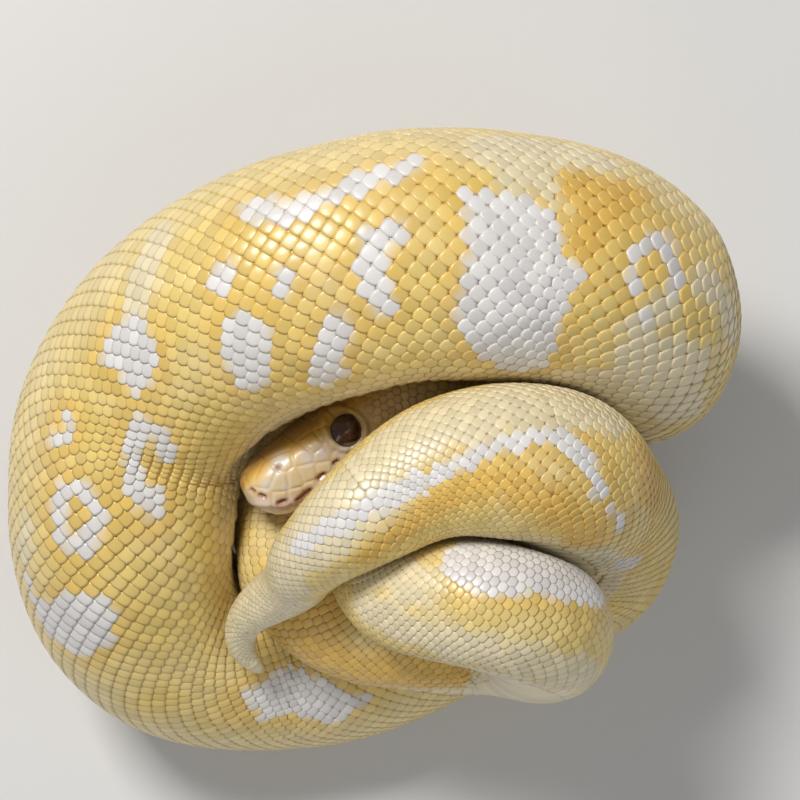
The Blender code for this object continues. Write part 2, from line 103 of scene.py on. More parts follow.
STRETCHES = (
    Stretch(
        "nape", 1.0, (-0.47, 0.80, 0.30),
        ((-23.9, -14, 50, 5), (-9.6, -5.8, 46, 8), (7.2, 3.8, 41.4, 9)),
    ),
    Stretch("neck_out", 0.0, (-0.10, 0.60, 0.80), ((12.5, 3.5, 40.8, 7.1),)),
    Stretch(
        "neck_turn", 0.0, (0.20, 0.30, 0.95),
        ((15.8, -1.5, 42, 6.7), (15.5, -8.5, 43.5, 6.6), (11.5, -13.5, 45, 6.6)),
    ),
    Stretch("neck_back", 0.0, (0.0, 0.35, 0.95), ((5, -16, 46.5, 6.9), (-1, -17, 49, 7.3))),
    Stretch("fore_rise", 0.3, (-0.2, 0.55, 0.80), ((-5, -22, 54, 8.0),)),
    Stretch(
        "fore_top", 1.0, (0.0, 0.72, 0.70),
        ((0, -28, 60, 9), (7.5, -29.5, 62, 9.8), (15, -31, 62, 10.3)),
    ),
    Stretch(
        "fore_bend", 1.0, (0.2, 0.97, 0.15),
        ((20, -33, 58, 10.6), (22, -34.5, 49, 10.8), (20, -35, 40, 11)),
    ),
    Stretch("fore_under", 1.0, (0.0, 0.95, 0.10), ((14, -35.5, 38, 11.4), (3, -34.5, 38, 11.6))),
    Stretch("fore_inward", 0.8, (-0.3, 0.75, 0.60), ((-8, -31.5, 36, 12), (-15, -25.5, 30, 12.6))),
    Stretch(
        "base_turn", 0.0, (-0.75, 0.25, 0.60),
        ((-19.5, -13, 22, 13.5), (-20.5, 0, 17, 14.5), (-15, 13, 17, 15.5)),
    ),
    Stretch(
        "base_pass", 0.0, (0.0, 0.85, 0.55),
        ((-3, 18, 17, 15.8), (10, 13, 18, 16.6), (22.5, 8.5, 22, 17.2)),
    ),
    Stretch("great_rise", 0.5, (0.60, 0.75, 0.25), ((32.5, 8, 31, 17.6), (36.5, 11.5, 43, 17.9))),
    Stretch("great_right", 1.0, (0.35, 0.80, 0.50), ((33, 17, 52, 18.3), (18, 21, 56, 19.2))),
    Stretch(
        "great_top", 1.0, (-0.10, 0.88, 0.46),
        ((8.5, 21, 57, 19.4), (-1, 20, 56, 19.4), (-7, 18.7, 55, 19.4)),
    ),
    Stretch(
        "great_fall", 1.0, (-0.45, 0.78, 0.45),
        ((-14, 17, 54, 19.4), (-20, 14.5, 52, 19.3), (-26, 11.2, 50, 19.2)),
    ),
    Stretch(
        "great_left", 1.0, (-0.86, 0.20, 0.45),
        ((-35, 3.5, 46, 19), (-42.2, -8.2, 41, 18.8), (-42.6, -19, 36, 18.4)),
    ),
    Stretch("great_low", 1.0, (-0.70, -0.55, 0.45), ((-40.5, -30, 30, 17.6), (-35, -38, 24, 16.8))),
    Stretch("hind_low", 1.0, (-0.05, -0.85, 0.50), ((-26, -41.5, 20, 15.8), (-16.4, -41.5, 17, 15.3))),
    Stretch(
        "hind_under", 0.5, (0.2, -0.80, 0.55),
        ((-5, -39.2, 16, 15), (8.3, -34.5, 15, 14.5), (19.8, -30.5, 15, 14)),
    ),
    Stretch("hind_rise", 0.3, (0.65, 0.45, 0.50), ((27.8, -27, 20, 13.6), (30, -22, 35, 13.2))),
    Stretch("hind_bend", 1.0, (0.20, 0.95, -0.20), ((27.5, -15.5, 50, 12.9),)),
    Stretch(
        "hind_top", 1.0, (0.0, 0.76, 0.65),
        ((23, -10.3, 61, 12.5), (14.8, -9.1, 65, 11.8), (5.1, -10.6, 66, 10.3)),
    ),
    Stretch("hind_fall", 1.0, (-0.35, 0.50, 0.80), ((-3.3, -16, 63, 8.6), (-10.5, -22.2, 57, 6.3))),
    Stretch("tail", 1.0, (-0.40, 0.20, 0.90), ((-16, -27.9, 50, 4.8), (-21.3, -31.4, 45, 3.8))),
    Stretch(
        "tail_hook", 1.0, (-0.5, -0.1, 0.86),
        ((-24.4, -34.5, 42, 2.9), (-25, -38.8, 39, 2.2), (-21.4, -43, 37, 0.9)),
    ),
)

# Head: distance from the snout, half width, height above and depth below the path.
HEAD_STATIONS = (
    (0.0, 0.0, 0.0, 0.0),
    (0.5, 2.5, 1.7, 2.9),
    (1.6, 3.9, 2.7, 4.5),
    (4.0, 5.1, 3.7, 5.9),
    (9.0, 6.1, 4.9, 6.8),
    (15.0, 7.1, 5.8, 7.1),
    (21.0, 8.6, 6.3, 7.3),
    (27.0, 10.5, 6.7, 7.4),
    (32.0, 11.4, 7.0, 7.4),
    (37.0, 10.2, 7.2, 7.2),
    (42.0, 8.4, 7.2, 7.0),
    (48.0, 7.3, 7.2, 7.1),
)
# Mouth line: distance from the snout and height above the path.
MOUTH_LINE = ((-4.0, -2.6), (1.0, -2.8), (4.0, -4.1), (8.0, -4.5), (13.0, -3.5), (20.0, -2.8), (29.0, -3.0))


def distances(points: Array) -> Array:
    """Distance along a run of points."""
    steps = np.linalg.norm(np.diff(points, axis=0), axis=1)
    return np.concatenate([[0.0], np.cumsum(steps)])


def unit(vectors: Array) -> Array:
    """Vectors brought to length 1."""
    return vectors / np.maximum(np.linalg.norm(vectors, axis=-1, keepdims=True), SPECK)


def turns(count: int) -> Array:
    """Angles evenly round a circle, from 0."""
    return np.arange(count) * 2 * math.pi / count


def from_spine(angle: Array) -> Array:
    """Angles between minus and plus half a turn."""
    return (angle + math.pi) % TURN - math.pi


def read_table(places: Array, table: Sequence[Sequence[float]]) -> Array:
    """Numbers between those of a table of places and numbers."""
    return np.interp(places, *np.array(table).T)


def ease(values: Array, low: float, high: float) -> Array:
    """A smooth step from 0 at low to 1 at high."""
    share = np.clip((values - low) / (high - low), 0.0, 1.0)
    return share * share * (3 - 2 * share)


def hump(values: Array, width: float) -> Array:
    """A bell of height 1 about 0."""
    return np.exp(-((values / width) ** 2))


def spline(knots: Array, values: Array, places: Array) -> Array:
    """A natural cubic through values at knots.

    Args:
        knots: Rising places of the values.
        values: One row for each knot.
        places: Where to read the curve.

    Returns:
        One row for each place.
    """
    count = len(knots)
    width = np.diff(knots)
    system = np.eye(count)
    right = np.zeros_like(values)
    for i in range(1, count - 1):
        system[i, i - 1 : i + 2] = width[i - 1], 2 * (width[i - 1] + width[i]), width[i]
        right[i] = 6 * ((values[i + 1] - values[i]) / width[i] - (values[i] - values[i - 1]) / width[i - 1])
    bend = np.linalg.solve(system, right)
    i = np.clip(np.searchsorted(knots, places, side="right") - 1, 0, count - 2)
    a = ((knots[i + 1] - places) / width[i])[:, None]
    b = ((places - knots[i]) / width[i])[:, None]
    h = width[i][:, None]
    return a * values[i] + b * values[i + 1] + ((a**3 - a) * bend[i] + (b**3 - b) * bend[i + 1]) * h**2 / 6


@dataclass
class Coil:
    """The body's path, settled as its coils come to rest against each other, the skull and the floor.

    Args:
        step: Distance between points of the path, in millimetres.
        head_straight: Length under the skull that keeps its place.
        rounds: How often the path is moved.
        squeeze: Distance of coils that touch, over their half widths.
        tightest_bend: Radius of the tightest bend, over the half width.
        bend_reaches: Steps that a bend is read over, and how much it is opened.
        floor_squeeze: Least height of the path, over the half width.
        neighbours: Points nearer along the body than this don't touch.
        push: How much of an overlap of two coils a round undoes.
        head_push: How much of an overlap with the skull.
        kink_ease: How much of a kink.
        pull: How much of a wrong spacing.
        free_of_head: The body keeps off the skull from here on.
        hold: How strongly firm stretches keep to their guide points.
        sink: How far weight takes the path down in a round.
        fine: Places that the guide points are joined by.
        spacing_rounds: How often a round mends the spacing.
    """

    step: float = 3.0
    head_straight: float = 30.0
    rounds: int = 600
    squeeze: float = 0.94
    tightest_bend: float = 1.15
    bend_reaches: tuple[tuple[int, float], ...] = ((1, 0.3), (2, 0.3), (4, 0.3), (6, 0.25))
    floor_squeeze: float = 0.92
    neighbours: float = 1.8
    push: float = 0.55
    head_push: float = 0.3
    kink_ease: float = 0.2
    pull: float = 0.25
    free_of_head: float = 56.0
    hold: Triple = (0.12, 0.12, 0.015)
    sink: float = 0.01
    fine: int = 4000
    spacing_rounds: int = 3

    def guide(self) -> tuple[Array, ...]:
        """The guide points joined smoothly: places, half widths, firmness and backs at every step."""
        rows = [(*point, s.firm, *s.back) for s in STRETCHES for point in s.points]
        table = np.array(rows, float)
        knots = distances(table[:, :3])
        fine = np.linspace(0.0, knots[-1], self.fine)
        along = distances(spline(knots, table[:, :3], fine))
        count = int(round(along[-1] / self.step)) + 1
        places = np.interp(np.linspace(0.0, along[-1], count), along, fine)
        path = spline(knots, table[:, :3], places)
        other = np.stack([np.interp(places, knots, table[:, k]) for k in range(3, 8)], axis=1)
        return path, other[:, 0], other[:, 1], other[:, 2:]

    def head_balls(self, path: Array, backs: Array) -> tuple[Array, Array]:
        """The skull as a few fixed balls, side by side: their centres and radii."""
        forward = unit(path[0] - path[4])
        back = backs[0] - forward * np.dot(backs[0], forward)
        left = np.cross(unit(back), forward)
        places = np.arange(self.step, self.head_straight + self.step, self.step)
        table = np.array(HEAD_STATIONS)
        wide = np.interp(places, table[:, 0], table[:, 1])
        deep = np.interp(places, table[:, 0], (table[:, 2] + table[:, 3]) / 2)
        centres = []
        for side in (-1.0, 0.0, 1.0):
            shift = side * np.clip(wide - deep, 0.0, None)
            centres.append(path[0] - places[:, None] * forward + shift[:, None] * left)
        return np.concatenate(centres), np.tile(deep, 3)

    def keep_spacing(self, path: Array) -> None:
        """Pull neighbouring points back to one step apart."""
        for _ in range(self.spacing_rounds):
            run = path[1:] - path[:-1]
            length = np.linalg.norm(run, axis=1)[:, None]
            pull = run * (length - self.step) / length * self.pull
            path[:-1] += pull
            path[1:] -= pull

    def ease_bends(self, path: Array, half: Array) -> None:
        """Smooth small kinks and open bends tighter than the body can make."""
        bow = np.zeros_like(path)
        bow[1:-1] = (path[:-2] + path[2:]) / 2 - path[1:-1]
        kink = np.zeros_like(path)
        kink[1:-1] = (bow[:-2] + bow[2:]) / 2 - bow[1:-1]
        path -= self.kink_ease * kink
        for reach, share in self.bend_reaches:
            bow = (path[: -2 * reach] + path[2 * reach :]) / 2 - path[reach:-reach]
            size = np.linalg.norm(bow, axis=1)
            most = (reach * self.step) ** 2 / (2 * half[reach:-reach] * self.tightest_bend)
            extra = bow * (np.clip(size - most, 0, None) / np.maximum(size, SPECK))[:, None]
            path[reach:-reach] += share * extra
            path[: -2 * reach] -= 0.5 * share * extra
            path[2 * reach :] -= 0.5 * share * extra

    def push_apart(self, path: Array, half: Array, first: Array, second: Array) -> None:
        """Move stretches that overlap off each other, evenly.

        Args:
            path: Points of the path, changed in place.
            half: Half width at each point.
            first: Index of one point of each pair that may touch.
            second: Index of the other.
        """
        run = path[second] - path[first]
        length = np.linalg.norm(run, axis=1)
        overlap = np.clip(self.squeeze * (half[first] + half[second]) - length, 0, None)
        hit = overlap > 0
        push = (run[hit] / length[hit][:, None]) * overlap[hit][:, None] * self.push
        move = np.zeros_like(path)
        count = np.zeros(len(path))
        np.add.at(move, second[hit], push)
        np.add.at(move, first[hit], -push)
        np.add.at(count, second[hit], 1)
        np.add.at(count, first[hit], 1)
        path += move / np.maximum(count, 1)[:, None]

    def push_off_head(self, path: Array, half: Array, balls: Array, radii: Array, start: int) -> None:
        """Move the coils, from a first point on, off the balls that stand for the fixed skull."""
        run = path[start:, None] - balls[None]
        length = np.linalg.norm(run, axis=2)
        overlap = np.clip(half[start:, None] + radii[None] - length, 0, None)
        worst = overlap.argmax(axis=1)
        rows = np.arange(len(worst))
        step = overlap[rows, worst][:, None] * self.head_push
        path[start:] += run[rows, worst] / length[rows, worst][:, None] * step

    def settle(self) -> tuple[Array, ...]:
        """The path at rest, with its half widths and backs, and the skull's balls."""
        guide, half, firm, backs = self.guide()
        path = guide.copy()
        first, second = np.triu_indices(len(path), 1)
        apart = (second - first) * self.step > self.neighbours * (half[first] + half[second])
        first, second = first[apart], second[apart]
        balls, radii = self.head_balls(guide, backs)
        rigid = int(self.head_straight / self.step) + 1
        after_head = int(self.free_of_head / self.step) + 1
        hold = firm[:, None] * np.array(self.hold)
        for _ in range(self.rounds):
            self.keep_spacing(path)
            self.ease_bends(path, half)
            self.push_apart(path, half, first, second)
            self.push_off_head(path, half, balls, radii, after_head)
            path[:, 2] = np.maximum(path[:, 2], self.floor_squeeze * half)
            path += (guide - path) * hold
            path[:, 2] -= self.sink
            path[:rigid] = guide[:rigid]
        return path, half, backs, balls, radii


@dataclass
class Body:
    """The settled body: where its surface is at any distance along it and any angle round it.

    Args:
        gap: Room left between two coils, in millimetres.
        belly_flat: How much the belly is flattened.
        belly_from: Angle at which the flat belly starts.
        belly_ease: Angle over which it comes in.
        pinch: Reach of a bend's inside, over the bend's radius.
        head_length: Nothing presses on the body before this.
        nape_from: Where the skull's section gives way to the body's.
        nape_ease: The length that this takes.
        head_square: Power of the skull's section, 2 for an ellipse.
        back_rounds: How often the back directions are evened out.
        direction_reach: Half the length that a direction is read over.
        bend_reach: Half the length that a bend is read over.
        clear_of_self: Points nearer along the body don't press.
        touch_reach: Coils further apart than this don't either.
        least_reach: The nearest that the surface comes to the path.
        skull_reach: The nearest where the skull presses.
        eye_back: Distance of the eyes from the snout.
        eye_up: Their height over the path.
        eye_inset: How far inside the skull's side their middles lie.
        coil: The path.
    """

    gap: float = 0.5
    belly_flat: float = 0.05
    belly_from: float = 2.1
    belly_ease: float = 1.0
    pinch: float = 0.93
    head_length: float = 42.0
    nape_from: float = 38.0
    nape_ease: float = 10.0
    head_square: float = 2.5
    back_rounds: int = 12
    direction_reach: float = 0.5
    bend_reach: float = 4.0
    clear_of_self: float = 1.5
    touch_reach: float = 2.0
    least_reach: float = 0.05
    skull_reach: float = 0.1
    eye_back: float = 17.3
    eye_up: float = 2.1
    eye_inset: float = 2.3
    coil: Coil = field(default_factory=Coil)

    def __post_init__(self) -> None:
        """Settle the path, and find where the frame's model has moved it to."""
        self.path, self.half, backs, self.balls, self.radii = self.coil.settle()
        self.along = distances(self.path)
        self.length = float(self.along[-1])
        self.backs = self.turned_backs(backs)
        low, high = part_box("eye_left")
        self.shift = np.array((low + high) / 2) / MM - self.eye_centre(1)

    def turned_backs(self, backs: Array) -> Array:
        """Back directions square to the path, with sudden turns evened out."""
        ahead = unit(np.gradient(self.path, axis=0))
        for _ in range(self.back_rounds):
            backs = self.square(backs, ahead)
            backs[1:-1] = (backs[:-2] + 2 * backs[1:-1] + backs[2:]) / 4
        return backs

    @staticmethod
    def square(vectors: Array, ahead: Array) -> Array:
        """Vectors turned square to the path's directions."""
        return unit(vectors - ahead * (vectors * ahead).sum(axis=1)[:, None])

    def read_path(self, along: Array) -> Array:
        """Points of the path at distances along it."""
        return spline(self.along, self.path, np.clip(along, 0, self.length))

    def axes(self, along: Array) -> tuple[Array, ...]:
        """Centre, tailward, back and left directions at distances along the body."""
        centre, reach = self.read_path(along), self.direction_reach
        tailward = unit(self.read_path(along + reach) - self.read_path(along - reach))
        back = self.square(spline(self.along, self.backs, np.clip(along, 0, self.length)), tailward)
        return centre, tailward, back, np.cross(tailward, back)

    def half_width(self, along: Array) -> Array:
        """Half width of the resting body at distances along it."""
        return np.interp(along, self.along, self.half)

    def section_width(self, along: Array) -> Array:
        """Half width of the body at distances along it, the head's too."""
        table = np.array(HEAD_STATIONS)
        on_head = np.interp(along, table[:, 0], table[:, 1])
        return np.where(along < self.nape_from, on_head, self.half_width(along))

    def section(self, along: Array, angle: Array) -> Array:
        """Distance from the path to the surface before anything presses on it.

        Args:
            along: One distance for each ring.
            angle: One angle for each point of a ring.

        Returns:
            A row of distances for each ring.
        """
        belly = np.clip((np.abs(angle) - self.belly_from) / self.belly_ease, 0, 1)
        half = spline(self.along, self.half[:, None], np.clip(along, 0, self.length))
        round_one = half * (1 - self.belly_flat * belly[None] ** 2 * (3 - 2 * belly[None]))
        table = np.array(HEAD_STATIONS)
        read = spline(np.sqrt(table[:, 0]), table[:, 1:], np.sqrt(np.clip(along, 0, table[-1, 0])))
        wide = np.maximum(read[:, :1], 1e-3)
        tall = np.maximum(np.where(np.cos(angle)[None] > 0, read[:, 1:2], read[:, 2:3]), 1e-3)
        power = self.head_square
        across = np.abs(np.sin(angle)[None] / wide) ** power
        head = (across + np.abs(np.cos(angle)[None] / tall) ** power) ** (-1 / power)
        share = ease(along, self.nape_from, self.nape_from + self.nape_ease)[:, None]
        return head * (1 - share) + round_one * share

    def surface(self, along: Array, angle: Array, depth: Array) -> Array:
        """Points of the body's surface, moved inwards.

        Args:
            along: One distance for each ring.
            angle: One angle for each point of a ring, rising from 0 at the spine.
            depth: How far in the surface lies at each ring.

        Returns:
            An array of rings, points and coordinates.
        """
        centre, _, back, left = self.axes(along)
        reach = self.section(along, from_spine(angle)) - depth[:, None]
        ray = np.cos(angle)[None, :, None] * back[:, None] + np.sin(angle)[None, :, None] * left[:, None]
        bow = self.read_path(along - self.bend_reach) + self.read_path(along + self.bend_reach) - 2 * centre
        towards = (ray * (bow / self.bend_reach**2)[:, None]).sum(axis=2)
        reach = np.where(towards > TINY, np.minimum(reach, self.pinch / np.maximum(towards, TINY)), reach)
        free = along < self.head_length
        reach = np.minimum(reach, np.where(free[:, None], reach, self.pressed(along, centre, ray, depth)))
        floor = (centre[:, None, 2] - depth[:, None]) / np.maximum(-ray[:, :, 2], TINY)
        reach = np.where(ray[:, :, 2] < -TINY, np.minimum(reach, floor), reach)
        return centre[:, None] + np.maximum(reach, self.least_reach)[:, :, None] * ray

    def pressed(self, along: Array, centre: Array, ray: Array, depth: Array) -> Array:
        """How far each ray may go before it meets the plane shared with another stretch, or the head.

        Args:
            along: One distance for each ring.
            centre: The rings' centres.
            ray: Unit rays of each ring.
            depth: How far in the surface lies at each ring.

        Returns:
            A row of limits for each ring.
        """
        fine = np.arange(self.head_length, self.length, self.coil.step / 2)
        others = self.read_path(fine)
        other_half = self.half_width(fine)
        half = self.half_width(along)
        most = np.full(ray.shape[:2], FAR)
        for i in range(len(along)):
            away = np.abs(fine - along[i]) > self.clear_of_self * (other_half + half[i])
            run = others[away] - centre[i]
            near = np.linalg.norm(run, axis=1) < other_half[away] + half[i] + self.touch_reach
            run = run[near]
            if len(run):
                lead = other_half[away][near] - half[i] + self.gap + 2 * depth[i]
                reach = ray[i] @ run.T + lead
                limit = ((run**2).sum(axis=1) - lead**2) / (2 * np.maximum(reach, TINY))
                most[i] = np.where(reach > TINY, limit, FAR).min(axis=1)
            if along[i] > self.coil.free_of_head:
                run = self.balls - centre[i]
                reach = ray[i] @ run.T
                inside = reach**2 - (run**2).sum(axis=1) + (self.radii + self.gap + depth[i]) ** 2
                limit = np.maximum(reach - np.sqrt(np.maximum(inside, 0)), self.skull_reach)
                hit = (inside > 0) & (reach > 0)
                most[i] = np.minimum(most[i], np.where(hit, limit, FAR).min(axis=1))
        return most

    def eye_centre(self, side: int) -> Array:
        """Centre of the eye on one side, 1 left and -1 right."""
        table = np.array(HEAD_STATIONS).T
        wide, top = (np.interp(self.eye_back, table[0], table[k]) for k in (1, 2))
        at_eye = wide * (1 - (self.eye_up / top) ** self.head_square) ** (1 / self.head_square)
        centre, _, back, left = self.axes(np.array([self.eye_back]))
        return centre[0] + side * (at_eye - self.eye_inset) * left[0] + self.eye_up * back[0]

    def world(self, points: Array) -> Array:
        """Points in metres, where the frame's model has them."""
        return (points + self.shift) * MM


@dataclass
class Wrap:
    """The skin as a fine grid of places and outward directions, for laying flat meshes on the body.

    Args:
        body: The settled body.
        step: Spacing of the rings along the body.
        sides: Places on each ring.
        depth_share: Depth of the scales over the half width.
        depth_range: Their least and greatest depth.
        soften: Where the skin goes from hard, on the skull, to soft.
        softenings: How often the soft skin is evened out.
        tail_round: Distance of the last ring from the tail's tip.
        fit_reach: How far inside the box the skin is drawn in from.
        room: What is left between the scales and the box.
        ray_share: How much outward directions lean to straight rays.
    """

    body: Body
    step: float = 0.5
    sides: int = 256
    depth_share: float = 0.028
    depth_range: Pair = (0.14, 0.55)
    soften: Pair = (44.0, 50.0)
    softenings: int = 3
    tail_round: float = 0.6
    fit_reach: float = 6.0
    room: float = 0.02
    ray_share: float = 0.25

    def __post_init__(self) -> None:
        """Work the grid out."""
        self.along = np.arange(0.0, self.body.length - self.tail_round, self.step)
        hard = self.body.surface(self.along, turns(self.sides), self.depth(self.along))
        soft = hard
        for _ in range(self.softenings):
            soft = self.softened(soft)
        share = ease(self.along, *self.soften)[:, None, None]
        self.low, self.high = (np.array(corner) / MM for corner in CAD_BOX)
        self.places = self.fitted(hard * (1 - share) + soft * share)
        self.outward, self.stretch = self.directions(self.places)

    def depth(self, along: Array) -> Array:
        """Depth of the scales at distances along the body."""
        return np.clip(self.depth_share * self.body.half_width(along), *self.depth_range)

    def fitted(self, places: Array) -> Array:
        """The grid drawn in smoothly wherever the scales would stand out of the animal's box."""
        outward, _ = self.directions(places)
        rims = places + outward * self.depth(self.along)[:, None, None] + self.body.shift
        for axis in range(3):
            for sign, limit in ((1, self.high[axis]), (-1, -self.low[axis])):
                rim = sign * rims[:, :, axis]
                extra = rim.max() - limit + self.room
                if extra > 0:
                    places[:, :, axis] -= sign * extra * ease(rim, limit - self.fit_reach, rim.max())
        return places

    @staticmethod
    def softened(places: Array) -> Array:
        """The grid with each place drawn towards its neighbours."""
        places = (np.roll(places, 1, axis=1) + 2 * places + np.roll(places, -1, axis=1)) / 4
        inner = (places[:-2] + 2 * places[1:-1] + places[2:]) / 4
        return np.concatenate([places[:1], inner, places[-1:]])

    def directions(self, places: Array) -> tuple[Array, Array]:
        """Outward direction and stretch along the body at each place of the grid."""
        ahead = np.gradient(places, axis=0)
        round_ring = np.roll(places, -1, axis=1) - np.roll(places, 1, axis=1)
        ray = unit(places - self.body.read_path(self.along)[:, None])
        outward = unit(unit(np.cross(round_ring, ahead)) + self.ray_share * ray)
        return outward, np.linalg.norm(ahead, axis=2) / self.step

    def read(self, grid: Array, along: Array, angle: Array) -> Array:
        """Values of a grid at any distances and angles."""
        row = np.clip(along / self.step, 0, len(grid) - 1.001)
        column = (angle / TURN * self.sides) % self.sides
        i, j = row.astype(int), column.astype(int) % self.sides
        after = (j + 1) % self.sides
        f, g = (row - i)[:, None], (column - np.floor(column))[:, None]
        return (grid[i, j] * (1 - f) + grid[i + 1, j] * f) * (1 - g) + (
            grid[i, after] * (1 - f) + grid[i + 1, after] * f
        ) * g

    def at(self, along: Array, angle: Array) -> Array:
        """Places on the skin at any distances and angles."""
        return self.read(self.places, along, angle)

    def lay(self, along: Array, angle: Array, height: Array) -> Array:
        """Places at heights over the skin, kept within the animal's box, in metres."""
        outward = unit(self.read(self.outward, along, angle))
        places = self.at(along, angle) + outward * height[:, None] + self.body.shift
        return np.clip(places, self.low, self.high) * MM


# ---- markings ------------------------------------------------------------------------------------
class Mark(Enum):
    """What a marking is."""

    WHITE = "white"
    CREAM = "pale"
    GOLD = "gold"
    YELLOW = "yellow"


@dataclass(frozen=True)
class Stroke:
    """One marking.

    Args:
        kind: Its colour.
        radius: Half its width, or how far it spreads past its outline.
        points: Distance along the body and angle, in degrees, of each point of it.
        closed: Whether the points are the outline of a patch.
    """

    kind: Mark
    radius: float
    points: tuple[Pair, ...]
    closed: bool = False


W, C, G = Mark.WHITE, Mark.CREAM, Mark.GOLD
STROKES = (
    # the great loop, from its left end
    Stroke(W, 2.6, ((370, -44), (374, -41), (372, -51), (370, -57), (374, -57))),
    Stroke(C, 3.0, ((369, -44), (367, -33), (365, -24), (363, -12))),
    Stroke(W, 3.7, ((355, -78), (356, -86), (357, -92))),
    Stroke(W, 1.9, ((354.4, -50), (355.4, -52))),
    Stroke(W, 1.9, ((348, -62), (348.5, -64))),
    Stroke(W, 2.7, ((344, -91), (345.6, -98), (347.6, -112))),
    Stroke(W, 2.3, ((337, -54), (338.4, -57), (339.8, -66), (339.4, -76), (338.8, -84))),
    Stroke(
        W, 1.75,
        ((351, -24), (348, -31), (345.8, -33), (343, -32), (340.5, -30), (337, -27), (334, -22)),
    ),
    Stroke(
        W, 0.2,
        (
            (330, -37), (327, -36), (323, -37), (318.5, -44), (317, -58), (313.8, -66), (316, -78),
            (316, -92), (315, -104), (316, -118), (322, -126), (328, -110), (331, -88), (329, -62),
        ),
        True,
    ),
    Stroke(C, 3.6, ((325, -2), (321, -2), (317, 0), (313.5, -2))),
    Stroke(C, 3.0, ((324, -24), (320, -26), (317, -12), (326, -12))),
    Stroke(G, 3.2, ((316, -24), (310, -22), (313, -36), (314.5, -52))),
    Stroke(
        W, 1.2,
        ((308.6, -66), (309.2, -58), (309.2, -48), (308, -41), (306.6, -42), (305.4, -50), (304.6, -62)),
    ),
    Stroke(C, 2.2, ((304.5, -70), (306, -77), (307, -86))),
    Stroke(W, 0.8, ((307.6, -77), (306, -79))),
    Stroke(C, 2.6, ((302, -50), (298.5, -54), (294, -60))),
    Stroke(C, 4.5, ((304, -96), (298, -92), (297.8, -106), (296, -121))),
    Stroke(C, 5.0, ((293, -110), (303, -124), (311, -134))),
    # its left side
    Stroke(W, 1.2, ((388.6, -33), (391, -35), (393, -30))),
    Stroke(
        W, 1.5,
        (
            (384, -85), (380.5, -83), (379.4, -76), (380, -69), (384, -67), (394, -72), (398, -77),
            (399, -84),
        ),
    ),
    Stroke(
        W, 1.3,
        (
            (398, -47), (399.5, -56), (403, -58), (405.2, -50), (404.4, -40), (401, -36), (398.6, -40),
            (398, -47),
        ),
    ),
    Stroke(C, 1.8, ((404, -13), (408.5, -11))),
    Stroke(
        W, 0.5,
        (
            (409, -9), (412, -12), (412.6, -22), (410.8, -38), (409.8, -52), (412, -60), (416.4, -48),
            (418.6, -28), (417.6, -14), (415, -8),
        ),
        True,
    ),
    Stroke(
        W, 0.6,
        ((441, -52), (446, -32), (453, -34), (459, -16), (463, -26), (460, -39), (455, -57), (446, -60)),
        True,
    ),
    # the hind stretch laid over the others, and the tail
    Stroke(W, 1.6, ((590, -24), (585, -32), (579, -38), (573, -47))),
    Stroke(
        W, 1.3,
        ((573, -48), (566, -45), (562, -39), (558, -37), (555, -43), (553.5, -60), (551.5, -78)),
    ),
    Stroke(C, 3.4, ((592, -30), (585, -40), (578, -34))),
    Stroke(C, 4.5, ((590, -12), (583, -4), (572, 0), (561, 4), (549, 14))),
    Stroke(C, 3.4, ((580, -16), (568, -14), (558, -14), (549, -20))),
    Stroke(G, 2.8, ((583, -84), (577, -72), (570, -67), (562, -66), (557, -84), (553, -104), (548, -122))),
    Stroke(G, 3.2, ((546, -52), (541, -60), (540, -74), (544, -70))),
    Stroke(W, 0.8, ((549, -92), (547.5, -98), (546, -106))),
    Stroke(W, 1.4, ((537, -126), (533, -114))),
    Stroke(C, 5.0, ((545, -142), (536, -150), (525, -140))),
    Stroke(C, 6.0, ((604, -60), (612, -40), (620, 0), (630, 0))),
    Stroke(C, 4.0, ((596, -20), (606, -10), (616, 60), (628, 120))),
    # the fore stretch, and the one under it
    Stroke(
        W, 0.4,
        (
            (103.5, 8), (104.5, 30), (107, 43), (110, 48), (112.5, 45), (117, 54), (121, 44), (122, 10),
            (118, -14), (111, -44), (106, -24),
        ),
        True,
    ),
    Stroke(C, 3.0, ((84, 20), (88, 34), (93, 30), (98, 22), (101, 38))),
    Stroke(C, 3.2, ((96, 64), (100, 78), (106, 98), (113, 112), (121, 118))),
    Stroke(G, 5.5, ((166, -60), (165, -88), (161, -112), (154, -118), (146, -112))),
)


